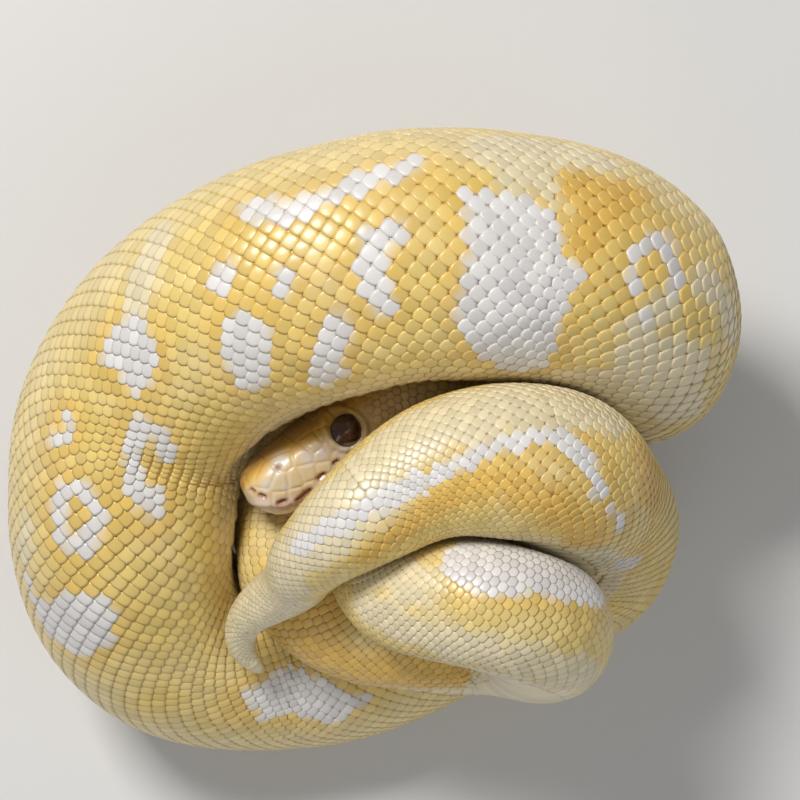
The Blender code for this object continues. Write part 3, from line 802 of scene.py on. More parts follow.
@dataclass
class Markings:
    """The animal's pattern: how white, cream or golden each place is.

    Args:
        wrap: The skin.
        head: The skull, which has colours of its own.
        edge: Width of a marking's edge.
        wobble: How far its edge wanders.
        rim: Width of the golden rim round a white marking.
        spine_pale: How much paler the ground is along the spine.
        spacing: Distance between the flank markings of the rule.
        clear: How far those stay from the others of their side.
        blotch: Angles of their top, bottom and yellow spot.
        back_spot: Angles of a small spot on the back.
        head_end: The head's own colours end here.
        look: How far past its outline a marking can show.
        near: How far round its middle the skin's stretch is read.
        stretch_range: The least and most stretch.
        cream_edge: Where a cream marking starts and ends to fade.
        cream_most: How cream it gets.
        gold_edge: Half the width of a golden marking's edge.
        rim_most: How golden the rim of a white marking gets.
        belly: Angles between which the flank turns to belly.
        belly_pale: How pale the belly is.
    """

    wrap: Wrap
    head: "Head"
    edge: float = 0.5
    wobble: float = 0.55
    rim: float = 2.4
    spine_pale: float = 0.3
    spacing: float = 27.0
    clear: float = 15.0
    blotch: Triple = (62.0, 124.0, 76.0)
    back_spot: Pair = (22.0, 26.0)
    head_end: float = 50.0
    look: float = 12.0
    near: float = 5.0
    stretch_range: Pair = (0.7, 2.2)
    cream_edge: Pair = (-1.2, 1.6)
    cream_most: float = 0.9
    gold_edge: float = 2.0
    rim_most: float = 0.55
    belly: Pair = (112.0, 140.0)
    belly_pale: float = 0.85

    def __post_init__(self) -> None:
        """Add the markings that follow the rule."""
        self.strokes = [*STROKES, *self.by_rule()]

    def by_rule(self) -> list[Stroke]:
        """Flank blotches with a yellow spot, and small spots on the back, one set for each spacing."""
        chance = np.random.default_rng(SEED)
        top, bottom, middle = self.blotch
        found = []
        seen = [(point[0], np.sign(point[1])) for stroke in STROKES for point in stroke.points]
        for side in (-1, 1):
            for place in np.arange(60.0, self.wrap.body.length - 30, self.spacing):
                centre = place + chance.uniform(-4, 4)
                half = float(self.wrap.body.half_width(np.array([centre]))[0])
                low, lean = chance.uniform(82, 96), chance.uniform(-4, 4)
                wide = half * chance.uniform(0.22, 0.30)
                spots = chance.uniform(0, 1)
                if any(s[1] == side and abs(s[0] - centre) < self.clear for s in seen):
                    continue
                shape = ((centre - lean, side * top), (centre, side * low), (centre + lean, side * bottom))
                found.append(Stroke(Mark.WHITE, wide, shape))
                found.append(Stroke(Mark.YELLOW, wide * 0.35, ((centre - lean / 2, side * middle),)))
                if spots > 0.4:
                    apart = centre + self.spacing / 2
                    shape = ((apart, side * self.back_spot[0]), (apart + 3, side * self.back_spot[1]))
                    found.append(Stroke(Mark.CREAM, wide * 0.4, shape))
        return found

    @staticmethod
    def wander(along: Array, across: Array) -> Array:
        """A smooth wobble of about 1 either way."""
        return (
            np.sin(1.31 * along + 0.9 * np.sin(0.83 * across))
            + np.sin(1.17 * across + 1.3 * np.sin(0.71 * along))
            + 0.6 * np.sin(2.3 * along - 1.9 * across)
        ) / 2

    def distance(self, stroke: Stroke, along: Array, angle: Array) -> Array:
        """Distance outside a stroke's edge, less than 0 inside it.

        Args:
            stroke: The marking.
            along: Distances along the body.
            angle: Angles from the spine, between minus and plus half a turn.

        Returns:
            One distance for each place.
        """
        points = np.array(stroke.points, float)
        middle, wrap = points.mean(axis=0), self.wrap
        half = float(wrap.body.half_width(middle[:1])[0])
        column = int(math.radians(middle[1]) / TURN * wrap.sides) % wrap.sides
        around = (wrap.along > middle[0] - self.near) & (wrap.along < middle[0] + self.near)
        stretch = float(np.clip(wrap.stretch[around, column].mean(), *self.stretch_range))
        points = np.stack([points[:, 0] * stretch, np.radians(points[:, 1]) * half], axis=1)
        place = np.stack([along * stretch, angle * half], axis=1)
        if len(points) == 1:
            return np.linalg.norm(place - points[0], axis=1) - stroke.radius
        ends = np.roll(points, -1, axis=0) if stroke.closed else points[1:]
        near = np.full(len(along), FAR)
        inside = np.zeros(len(along), bool)
        for start, end in zip(points, ends):
            run = end - start
            share = np.clip(((place - start) @ run) / max(float(run @ run), SPECK), 0, 1)
            near = np.minimum(near, np.linalg.norm(place - start - share[:, None] * run, axis=1))
            if stroke.closed and abs(run[1]) > SPECK:
                crosses = (start[1] > place[:, 1]) != (end[1] > place[:, 1])
                inside ^= crosses & (place[:, 0] < start[0] + (place[:, 1] - start[1]) / run[1] * run[0])
        return np.where(inside, -near, near) - stroke.radius

    def read(self, along: Array, angle: Array) -> dict[str, Array]:
        """How white, pale and golden each place is, from 0 to 1.

        Args:
            along: Distances along the body.
            angle: Angles from the spine, in radians.

        Returns:
            The shares, by attribute name.
        """
        angle = from_spine(angle)
        away = {mark: np.full(len(along), 30.0) for mark in Mark}
        for stroke in self.strokes:
            spread = self.look + stroke.radius
            low = min(p[0] for p in stroke.points) - spread
            high = max(p[0] for p in stroke.points) + spread
            near = (along > low) & (along < high)
            if near.any():
                found = self.distance(stroke, along[near], angle[near])
                away[stroke.kind][near] = np.minimum(away[stroke.kind][near], found)
        noise = self.wobble * self.wander(along, angle * self.wrap.body.half_width(along))
        clear = ease(away[Mark.YELLOW] + noise * 0.5, -self.edge, self.edge)
        white = (1 - ease(away[Mark.WHITE] + noise, -self.edge, self.edge)) * clear
        pale = (1 - ease(away[Mark.CREAM] + 1.5 * noise, *self.cream_edge)) * clear * self.cream_most
        pale = np.maximum(pale, self.spine_pale * (1 - ease(np.abs(angle), 0.15, 0.6)))
        gold = (1 - ease(away[Mark.GOLD] + noise, -self.gold_edge, self.gold_edge)) * (1 - white)
        rim = hump(np.maximum(away[Mark.WHITE] + noise - 0.6, 0), self.rim) * self.rim_most * (1 - white)
        belly = ease(np.abs(angle), *np.radians(self.belly))
        marks = {
            "white": white,
            "pale": np.clip(np.maximum(pale, self.belly_pale * belly) * (1 - gold), 0, 1),
            "gold": np.clip(np.maximum(gold, rim * (1 - belly) * (1 - pale)), 0, 1),
        }
        # the head adds its own colours, a painted shadow on its top and painted shade in its pits
        marks.update({key: np.zeros(len(along)) for key in ("brown", "blush", "pit")})
        on_head = along < self.head_end
        if on_head.any():
            for key, values in self.head.tint(along[on_head], angle[on_head]).items():
                marks[key][on_head] = np.maximum(marks[key][on_head], values)
        return marks


# ---- meshes --------------------------------------------------------------------------------------
def plain_mesh(name: str, points: Array, faces: Sequence[Sequence[int]]) -> Mesh:
    """A smooth-shaded mesh from points in metres and faces."""
    mesh = bpy.data.meshes.new(name)
    mesh.from_pydata(points.tolist(), [], faces)
    mesh.shade_smooth()
    return mesh


def put(name: str, mesh: Mesh) -> Item:
    """An object at the origin that shows a mesh."""
    item = bpy.data.objects.new(name, mesh)
    bpy.context.scene.collection.objects.link(item)
    return item


def store(mesh: Mesh, name: str, values: Array) -> None:
    """Keep one number, or three, for each vertex of a mesh."""
    kind, key = ("FLOAT", "value") if values.ndim == 1 else ("FLOAT_VECTOR", "vector")
    kept = mesh.attributes.get(name) or mesh.attributes.new(name, kind, "POINT")
    kept.data.foreach_set(key, values.astype(np.float32).ravel())


def read_vectors(data: bpy.types.bpy_prop_collection, key: str = "vector") -> Array:
    """Three numbers kept on a mesh, one row for each vertex."""
    values = np.zeros(len(data) * 3, np.float32)
    data.foreach_get(key, values)
    return values.reshape(-1, 3).astype(float)


def read_numbers(data: bpy.types.bpy_prop_collection, key: str) -> Array:
    """Whole numbers kept on a mesh, one for each part."""
    values = np.zeros(len(data), np.int32)
    data.foreach_get(key, values)
    return values


def ring_faces(first: int, rings: int, sides: int) -> list[tuple[int, ...]]:
    """Faces between rings that all have the same number of points."""
    i, j = np.meshgrid(np.arange(rings - 1), np.arange(sides), indexing="ij")
    n = (j + 1) % sides
    corners = (i * sides + j, i * sides + n, (i + 1) * sides + n, (i + 1) * sides + j)
    return [tuple(face) for face in (np.stack(corners, axis=-1) + first).reshape(-1, 4).tolist()]


def add_map(mesh: Mesh, corners: Array) -> None:
    """Give a mesh its own map, one place for each corner of each face."""
    layer = mesh.uv_layers.new(name="OFBake")
    layer.data.foreach_set("uv", np.clip(corners, 0.0005, 0.9995).astype(np.float32).ravel())


# ---- node trees ----------------------------------------------------------------------------------
class Value:
    """A node's output that can be used in sums.

    Args:
        graph: The node tree it is part of.
        socket: The output.
    """

    def __init__(self, graph: "Graph", socket: bpy.types.NodeSocket) -> None:
        """Keep the graph and the socket."""
        self.graph = graph
        self.socket = socket

    def sum(self, operation: str, *others: Any) -> "Value":
        """A maths node with this value first."""
        return self.graph.maths(operation, self, *others)

    def __add__(self, other: Any) -> "Value":
        """Sum."""
        return self.sum("ADD", other)

    def __radd__(self, other: Any) -> "Value":
        """Sum, the other way round."""
        return self.graph.maths("ADD", other, self)

    def __sub__(self, other: Any) -> "Value":
        """Difference."""
        return self.sum("SUBTRACT", other)

    def __mul__(self, other: Any) -> "Value":
        """Product."""
        return self.sum("MULTIPLY", other)

    def __rmul__(self, other: Any) -> "Value":
        """Product, the other way round."""
        return self.graph.maths("MULTIPLY", other, self)

    def __pow__(self, other: Any) -> "Value":
        """Power."""
        return self.sum("POWER", other)

    def eased(self, low: float, high: float) -> "Value":
        """A smooth step from 0 at low to 1 at high."""
        settings = {"interpolation_type": "SMOOTHSTEP"}
        return self.graph.value("ShaderNodeMapRange", settings, Value=self, From_Min=low, From_Max=high)


class Graph:
    """Builds a node tree."""

    def __init__(self, tree: bpy.types.NodeTree) -> None:
        """Start from an empty tree."""
        self.tree = tree
        tree.nodes.clear()

    def node(self, kind: str, settings: dict[str, Any] | None = None, **sockets: Any) -> bpy.types.Node:
        """Add a node.

        Args:
            kind: The node's type.
            settings: Its own settings, made before its sockets are filled.
            sockets: What goes into each input, named with _ for a space, or n and its number.

        Returns:
            The node.
        """
        made = self.tree.nodes.new(kind)
        for name, setting in (settings or {}).items():
            setattr(made, name, setting)
        for name, entry in sockets.items():
            key = int(name[1:]) if name[0] == "n" and name[1:].isdigit() else name.replace("_", " ")
            socket = made.inputs[key]
            if isinstance(entry, Value):
                self.tree.links.new(entry.socket, socket)
            elif isinstance(entry, bpy.types.NodeSocket):
                self.tree.links.new(entry, socket)
            else:
                socket.default_value = entry
        return made

    def value(
        self, kind: str, settings: dict[str, Any] | None = None, out: int | str = 0, **sockets: Any
    ) -> Value:
        """Add a node and give one of its outputs."""
        return Value(self, self.node(kind, settings, **sockets).outputs[out])

    def maths(self, operation: str, *entries: Any) -> Value:
        """A maths node on numbers and values."""
        sockets = {f"n{i}": entry for i, entry in enumerate(entries)}
        return self.value("ShaderNodeMath", {"operation": operation}, **sockets)

    def mix(self, share: Any, first: Any, second: Any, blend: str = "MIX") -> Value:
        """A mixture of two colours."""
        settings = {"data_type": "RGBA", "blend_type": blend, "clamp_factor": True}
        return self.value("ShaderNodeMix", settings, 2, n0=share, n6=first, n7=second)

    def attribute(self, name: str) -> Value:
        """A number kept on the mesh."""
        return self.value("ShaderNodeAttribute", {"attribute_name": name}, "Fac")

    def noise(self, dimensions: str, place: Value, **sockets: Any) -> Value:
        """Noise of two or three dimensions, "2D" or "3D"."""
        settings = {"noise_dimensions": dimensions}
        return self.value("ShaderNodeTexNoise", settings, "Fac", Vector=place, **sockets)

    def surface(self, **sockets: Any) -> None:
        """The shader of a material, from what goes into it."""
        shader = self.node("ShaderNodeBsdfPrincipled", None, **sockets)
        self.node("ShaderNodeOutputMaterial", None, Surface=shader.outputs[0])



def rgba(colour: Colour) -> Four:
    """A colour with nothing see-through."""
    return (*colour, 1.0)


def new_material(name: str) -> tuple[Material, Graph]:
    """An empty material and its node tree."""
    finish = bpy.data.materials.new(name)
    finish.use_nodes = True
    return finish, Graph(finish.node_tree)


# ---- finishes ------------------------------------------------------------------------------------
@dataclass(frozen=True)
class ScaleFinish:
    """Snake skin: yellow with white, cream and golden markings, and painted shade in the grooves between
    scales.

    Args:
        name: The material's name.
        yellow: The ground colour.
        gold: Colour of golden markings.
        cream: Colour of cream markings and the belly.
        white: Colour of white markings.
        warm_groove: Painted shade in the grooves under yellow.
        cool_groove: Painted shade, a cool grey, in the grooves under white.
        lip: Pinkish white of the lips.
        brown: Painted shadow, brown, on the snout's top where the coil shades it.
        pit: Painted shade, dark red, in the heat pits and nostrils.
        groove_share: How much painted shade the grooves take.
        roughness: Roughness of a scale's top.
        tone_spread: How much scales differ in shade.
    """

    name: str = "snake scales"
    yellow: Colour = (0.80, 0.60, 0.18)
    gold: Colour = (0.76, 0.48, 0.105)
    cream: Colour = (0.79, 0.70, 0.48)
    white: Colour = (0.76, 0.735, 0.71)
    warm_groove: Colour = (0.64, 0.40, 0.105)
    cool_groove: Colour = (0.63, 0.58, 0.56)
    lip: Colour = (0.80, 0.64, 0.56)
    brown: Colour = (0.42, 0.20, 0.045)
    pit: Colour = (0.28, 0.06, 0.025)
    groove_share: float = 0.25
    roughness: float = 0.33
    tone_spread: float = 0.10

    def build(self) -> Material:
        """The finish as a material."""
        finish, g = new_material(self.name)
        white, pale, gold = (g.attribute(name) for name in ("white", "pale", "gold"))
        edge, tone = g.attribute("edge"), g.attribute("tone")
        place = g.value("ShaderNodeTexCoord", None, "Object")
        cloud = g.noise("3D", place, Scale=90.0, Detail=3.0)
        grain = g.noise("3D", place, Scale=2600.0, Detail=2.0)
        ground = g.mix(cloud.eased(0.35, 0.75) * 0.35, rgba(self.yellow), rgba(self.cream))
        colour = g.mix(gold, ground, rgba(self.gold))
        colour = g.mix(pale, colour, rgba(self.cream))
        # painted shadow, brown, on the snout's top
        colour = g.mix(g.attribute("brown"), colour, rgba(self.brown))
        colour = g.mix(white, colour, rgba(self.white))
        colour = g.mix(g.attribute("blush"), colour, rgba(self.lip))
        # painted shade in the grooves between scales, warm under yellow and cool under white and cream,
        # strongest at each scale's rim
        cool = g.maths("MAXIMUM", white, pale * 0.45)
        groove = g.mix(cool, rgba(self.warm_groove), rgba(self.cool_groove))
        colour = g.mix(edge**5 * self.groove_share, colour, groove)
        # painted shade, dark red, in the heat pits and nostrils
        colour = g.mix(g.attribute("pit"), colour, rgba(self.pit))
        shade = 1 - self.tone_spread + 2 * self.tone_spread * tone + 0.05 * (grain - 0.5)
        lit = g.value("ShaderNodeVectorMath", {"operation": "SCALE"}, n0=colour, n3=shade)
        bump = g.value("ShaderNodeBump", None, "Normal", Height=grain, Strength=0.06, Distance=0.0002)
        g.surface(
            Base_Color=lit,
            Roughness=self.roughness + 0.12 * edge + 0.08 * (cloud - 0.5),
            Normal=bump,
            Coat_Weight=0.25,
            Coat_Roughness=0.16,
        )
        return finish


@dataclass(frozen=True)
class EyeFinish:
    """A dark maroon eye with a slit pupil, painted with a lighter sheen along it.

    Args:
        name: The material's name.
        iris: Its ground colour.
        streak: Colour of the fine rays in it.
        pupil: Painted sheen, a reflection lighter than the iris, along the slit pupil.
        dark: Colour of the ring along the eye's rim.
    """

    name: str = "snake eye"
    iris: Colour = (0.058, 0.021, 0.015)
    streak: Colour = (0.10, 0.042, 0.03)
    pupil: Colour = (0.15, 0.085, 0.065)
    dark: Colour = (0.012, 0.004, 0.003)

    def build(self) -> Material:
        """The finish as a material."""
        finish, g = new_material(self.name)
        turn, away, slit = (g.attribute(name) for name in ("turn", "away", "slit"))
        rays = g.noise("2D", self.wheel(g, turn, away))
        colour = g.mix(rays.eased(0.45, 0.8) * 0.7, rgba(self.iris), rgba(self.streak))
        colour = g.mix(away.eased(0.86, 0.99), colour, rgba(self.dark))
        # painted reflection: a lighter sheen along the slit pupil
        colour = g.mix(slit * 0.75, colour, rgba(self.pupil))
        g.surface(Base_Color=colour, Roughness=0.18, Coat_Weight=1.0, Coat_Roughness=0.03)
        return finish

    @staticmethod
    def wheel(g: Graph, turn: Value, away: Value) -> Value:
        """Coordinates that turn noise into rays about the eye's middle."""
        return g.value("ShaderNodeCombineXYZ", None, X=turn * 14.0, Y=away * 1.2)


@dataclass(frozen=True)
class FloorFinish:
    """A plain pale matt floor.

    Args:
        name: The material's name.
        colour: Its colour.
        roughness: Its roughness.
    """

    name: str = "pale floor"
    colour: Colour = (0.74, 0.735, 0.73)
    roughness: float = 0.85

    def build(self) -> Material:
        """The finish as a material."""
        finish, g = new_material(self.name)
        g.surface(Base_Color=rgba(self.colour), Roughness=self.roughness)
        return finish


# ---- scales --------------------------------------------------------------------------------------
def stamp(
    name: str, points: Sequence[Sequence[float]], faces: Sequence[Sequence[int]], edge: Sequence[float]
) -> Item:
    """A shape of size 1 to be laid many times, which keeps how near its rim each point is, for the painted
    groove shade and the roughness.
    """
    mesh = plain_mesh(name, np.array(points), faces)
    store(mesh, "edge", np.array(edge))
    store(mesh, "spot", np.array(points))
    return put(name, mesh)


@dataclass(frozen=True)
class ScaleShape:
    """One scale: a low round pillow, a little raised towards the tail, with steep sides.

    Args:
        sides: Corners of its outline.
        rings: Size of each ring of points, from the middle to the rim.
        rim: Height of the rim over the height of the top.
        dome: How flat the top is.
        tilt: How much higher the tail end is than the middle.
        under: How far the sides reach under the skin.
        foot: Size of the lowest ring.
    """

    sides: int = 11
    rings: tuple[float, ...] = (0.68, 1.0)
    rim: float = 0.58
    dome: float = 2.6
    tilt: float = 0.2
    under: float = 0.5
    foot: float = 0.97

    def build(self, name: str) -> Item:
        """The scale as an object of size 1, to be laid many times."""
        x, y = np.cos(turns(self.sides)), np.sin(turns(self.sides))
        top = 1 - self.tilt
        points = [(0.0, 0.0, top)]
        edge = [0.0]
        for ring in self.rings:
            height = self.rim + (top - self.rim) * (1 - ring**self.dome) + self.tilt * x * ring
            points += list(zip(x * ring, y * ring, height))
            # nearness to the rim, which sets the painted shade in the grooves
            edge += [ring] * self.sides
        points += list(zip(x * self.foot, y * self.foot, np.full(self.sides, -self.under)))
        edge += [1.0] * self.sides
        faces = [(0, 1 + k, 1 + (k + 1) % self.sides) for k in range(self.sides)]
        faces += [(a, d, c, b) for a, b, c, d in ring_faces(1, len(self.rings) + 1, self.sides)]
        faces.append(tuple(reversed(range(1 + len(self.rings) * self.sides, len(points)))))
        return stamp(name, points, faces, edge)


@dataclass(frozen=True)
class PlateShape:
    """One wide belly plate, its tail edge lapping over the next.

    Args:
        across: Strips across the belly.
        lengthways: Places of its lines of points along the body.
        heights: Their heights.
        bow: How far its ends stand towards the head.
        fall: How sharply its top falls to its ends.
        end: How far under the skin its ends are.
        edges: How sharply the painted groove shade and the roughness come in at its edges, lengthways and
            at its ends.
        under: How far its edges reach under the skin.
        foot: Size of the lowest points, lengthways and across.
    """

    across: int = 18
    lengthways: tuple[float, ...] = (-1.0, -0.6, 0.2, 0.78, 1.0)
    heights: tuple[float, ...] = (-0.05, 0.30, 0.62, 0.95, 0.70)
    bow: float = 0.35
    fall: int = 6
    end: float = 0.1
    edges: tuple[int, int] = (4, 12)
    under: float = 0.5
    foot: Pair = (0.98, 0.99)

    def build(self, name: str) -> Item:
        """The plate as an object of size 1, to be laid many times."""
        y = np.linspace(-1, 1, self.across + 1)
        points, low, edge = [], [], []
        for x, height in zip(self.lengthways, self.heights):
            for v in y:
                top, bow = 1 - abs(v) ** self.fall, self.bow * v * v
                points.append((x - bow, v, height * top - self.end * (1 - top)))
                low.append((x * self.foot[0] - bow, v * self.foot[1], -self.under))
                edge.append(max(abs(x) ** self.edges[0], abs(v) ** self.edges[1]))
        count, wide = len(points), len(y)
        faces = []
        for i in range(len(self.lengthways) - 1):
            for j in range(self.across):
                a, b = i * wide + j, (i + 1) * wide + j
                faces.append((a, b, b + 1, a + 1))
                faces.append((count + a, count + a + 1, count + b + 1, count + b))
        last = (len(self.lengthways) - 1) * wide
        for j in range(self.across):
            faces.append((j, j + 1, count + j + 1, count + j))
            faces.append((last + j + 1, last + j, count + last + j, count + last + j + 1))
        for i in range(len(self.lengthways) - 1):
            a, b = i * wide, (i + 1) * wide
            faces.append((b, a, count + a, count + b))
            a, b = a + self.across, b + self.across
            faces.append((a, b, count + b, count + a))
        return stamp(name, points + low, faces, edge + [1.0] * count)


@dataclass(frozen=True)
class Row:
    """Scales laid beside and behind each other.

    Args:
        along: Their roots' distances along the body.
        angle: Their roots' angles.
        half_long: Half their length, in millimetres.
        half_wide: Half their width, in radians.
    """

    along: Array
    angle: Array
    half_long: Array
    half_wide: Array

    @staticmethod
    def joined(rows: Sequence["Row"]) -> "Row":
        """Many rows as one."""
        return Row(*(np.concatenate([getattr(row, f.name) for row in rows]) for f in fields(Row)))

    def only(self, kept: Array) -> "Row":
        """The scales that are kept."""
        return type(self)(*(getattr(self, f.name)[kept] for f in fields(self)))

    def spread(self, root: Array, offset: Array, number: Array) -> tuple[Array, Array]:
        """Distances and angles of points, from their roots, places on the scale and scales' numbers."""
        return (
            root[:, 0] + offset[:, 0] * self.half_long[number],
            root[:, 1] + offset[:, 1] * self.half_wide[number],
        )


@dataclass(frozen=True)
class Cells(Row):
    """Scales that fill the room between their neighbours.

    Args:
        outline: How far each scale reaches in each of many directions, in millimetres.
        axes: What a millimetre tailward and a millimetre to the left come to in distance and angle.
    """

    outline: Array
    axes: Array

    def spread(self, root: Array, offset: Array, number: Array) -> tuple[Array, Array]:
        """Distances and angles of points, from their roots, places on the scale and scales' numbers."""
        count = self.outline.shape[1]
        turn = (np.arctan2(offset[:, 1], offset[:, 0]) / TURN * count) % count
        j = turn.astype(int) % count
        share = turn - np.floor(turn)
        reach = self.outline[number, j] * (1 - share) + self.outline[number, (j + 1) % count] * share
        step = np.einsum("nij,nj->ni", self.axes[number], offset * reach[:, None])
        return root[:, 0] + step[:, 0], root[:, 1] + step[:, 1]


@dataclass
class Room:
    """Shares the skin out between the roots of scales.

    Args:
        wrap: The skin.
        directions: How many directions an outline is measured in.
        neighbours: How many roots nearby are looked at.
        rounding: How sharp the corners of an outline are.
        lap: Reach of a scale over half the way to the next root.
        rounds: How often roots move to even out their spacing.
        ease_off: How far they move each time.
        same_stretch: Roots further apart are on another stretch.
        out_of_reach: How far off those are taken to be.
        least: Least room for a millimetre along or a radian round.
        least_apart: The nearest that two roots are taken to be.
        reads: How far round a place the skin is read.
    """

    wrap: Wrap
    directions: int = 24
    neighbours: int = 12
    rounding: float = 9.0
    lap: float = 1.15
    rounds: int = 8
    ease_off: float = 0.16
    same_stretch: float = 20.0
    out_of_reach: float = 50.0
    least: float = 0.26
    least_apart: float = 0.05
    reads: Pair = (0.4, 0.03)

    def near(self, places: Array) -> Array:
        """Indices of each place's nearest others."""
        tree = KDTree(len(places))
        for i, place in enumerate(places):
            tree.insert(place, i)
        tree.balance()
        found = (tree.find_n(place, self.neighbours + 1) for place in places)
        return np.array([[hit[1] for hit in hits][1:] for hits in found])

    def tangents(self, along: Array, angle: Array) -> tuple[Array, ...]:
        """Places on the skin, tailward and left there, and what those come to in distance and angle."""
        at, (ds, da) = self.wrap.at, self.reads
        ahead = (at(along + ds, angle) - at(along - ds, angle)) / (2 * ds)
        round_ring = (at(along, angle + da) - at(along, angle - da)) / (2 * da)
        tailward = unit(ahead)
        left = np.cross(tailward, unit(np.cross(round_ring, ahead)))
        across = np.maximum((round_ring * left).sum(axis=1), self.least)
        slip = (round_ring * tailward).sum(axis=1)
        length = np.maximum(np.linalg.norm(ahead, axis=1), self.least)
        axes = np.zeros((len(along), 2, 2))
        axes[:, 0, 0] = 1 / length
        axes[:, 0, 1] = -slip / (across * length)
        axes[:, 1, 1] = 1 / across
        return at(along, angle), tailward, left, axes

    def steps(self, along: Array, places: Array, tailward: Array, left: Array) -> Array:
        """Steps from each root to those nearby on the same stretch, tailward and left."""
        near = self.near(places)
        run = places[near] - places[:, None]
        step = np.stack([(run * way[:, None]).sum(axis=2) for way in (tailward, left)], axis=2)
        step[np.abs(along[near] - along[:, None]) > self.same_stretch] = self.out_of_reach
        return step

    def evened(self, along: Array, angle: Array, pitch: Array, gauge: Array) -> tuple[Array, Array]:
        """Roots moved apart where they crowd.

        Args:
            along: Their distances along the body.
            angle: Their angles.
            pitch: The room each has along its row, in millimetres.
            gauge: The distance between rows there.

        Returns:
            Distances and angles.
        """
        for _ in range(self.rounds):
            places, tailward, left, axes = self.tangents(along, angle)
            step = self.steps(along, places, tailward, left)
            scaled = step / np.stack([pitch, gauge * 2 / math.sqrt(3)], axis=1)[:, None]
            away = np.maximum(np.linalg.norm(scaled, axis=2), self.least_apart)
            push = -(scaled / away[:, :, None] * np.clip(1 - away, 0, 1)[:, :, None]).sum(axis=1)
            move = push * np.stack([pitch, gauge], axis=1) * self.ease_off
            turned = np.einsum("nij,nj->ni", axes, move)
            along, angle = along + turned[:, 0], angle + turned[:, 1]
        return along, angle

    def outlines(self, along: Array, angle: Array, most: Array) -> tuple[Array, Array]:
        """How far each scale may reach in every direction, at most so far, and its axes."""
        places, tailward, left, axes = self.tangents(along, angle)
        step = self.steps(along, places, tailward, left)
        ray = np.stack([np.cos(turns(self.directions)), np.sin(turns(self.directions))])
        near = 2 * (step @ ray) / (step**2).sum(axis=2)[:, :, None]
        crowd = (np.clip(near, 0, None) ** self.rounding).sum(axis=1) + (1 / most[:, None]) ** self.rounding
        return crowd ** (-1 / self.rounding) * self.lap, axes


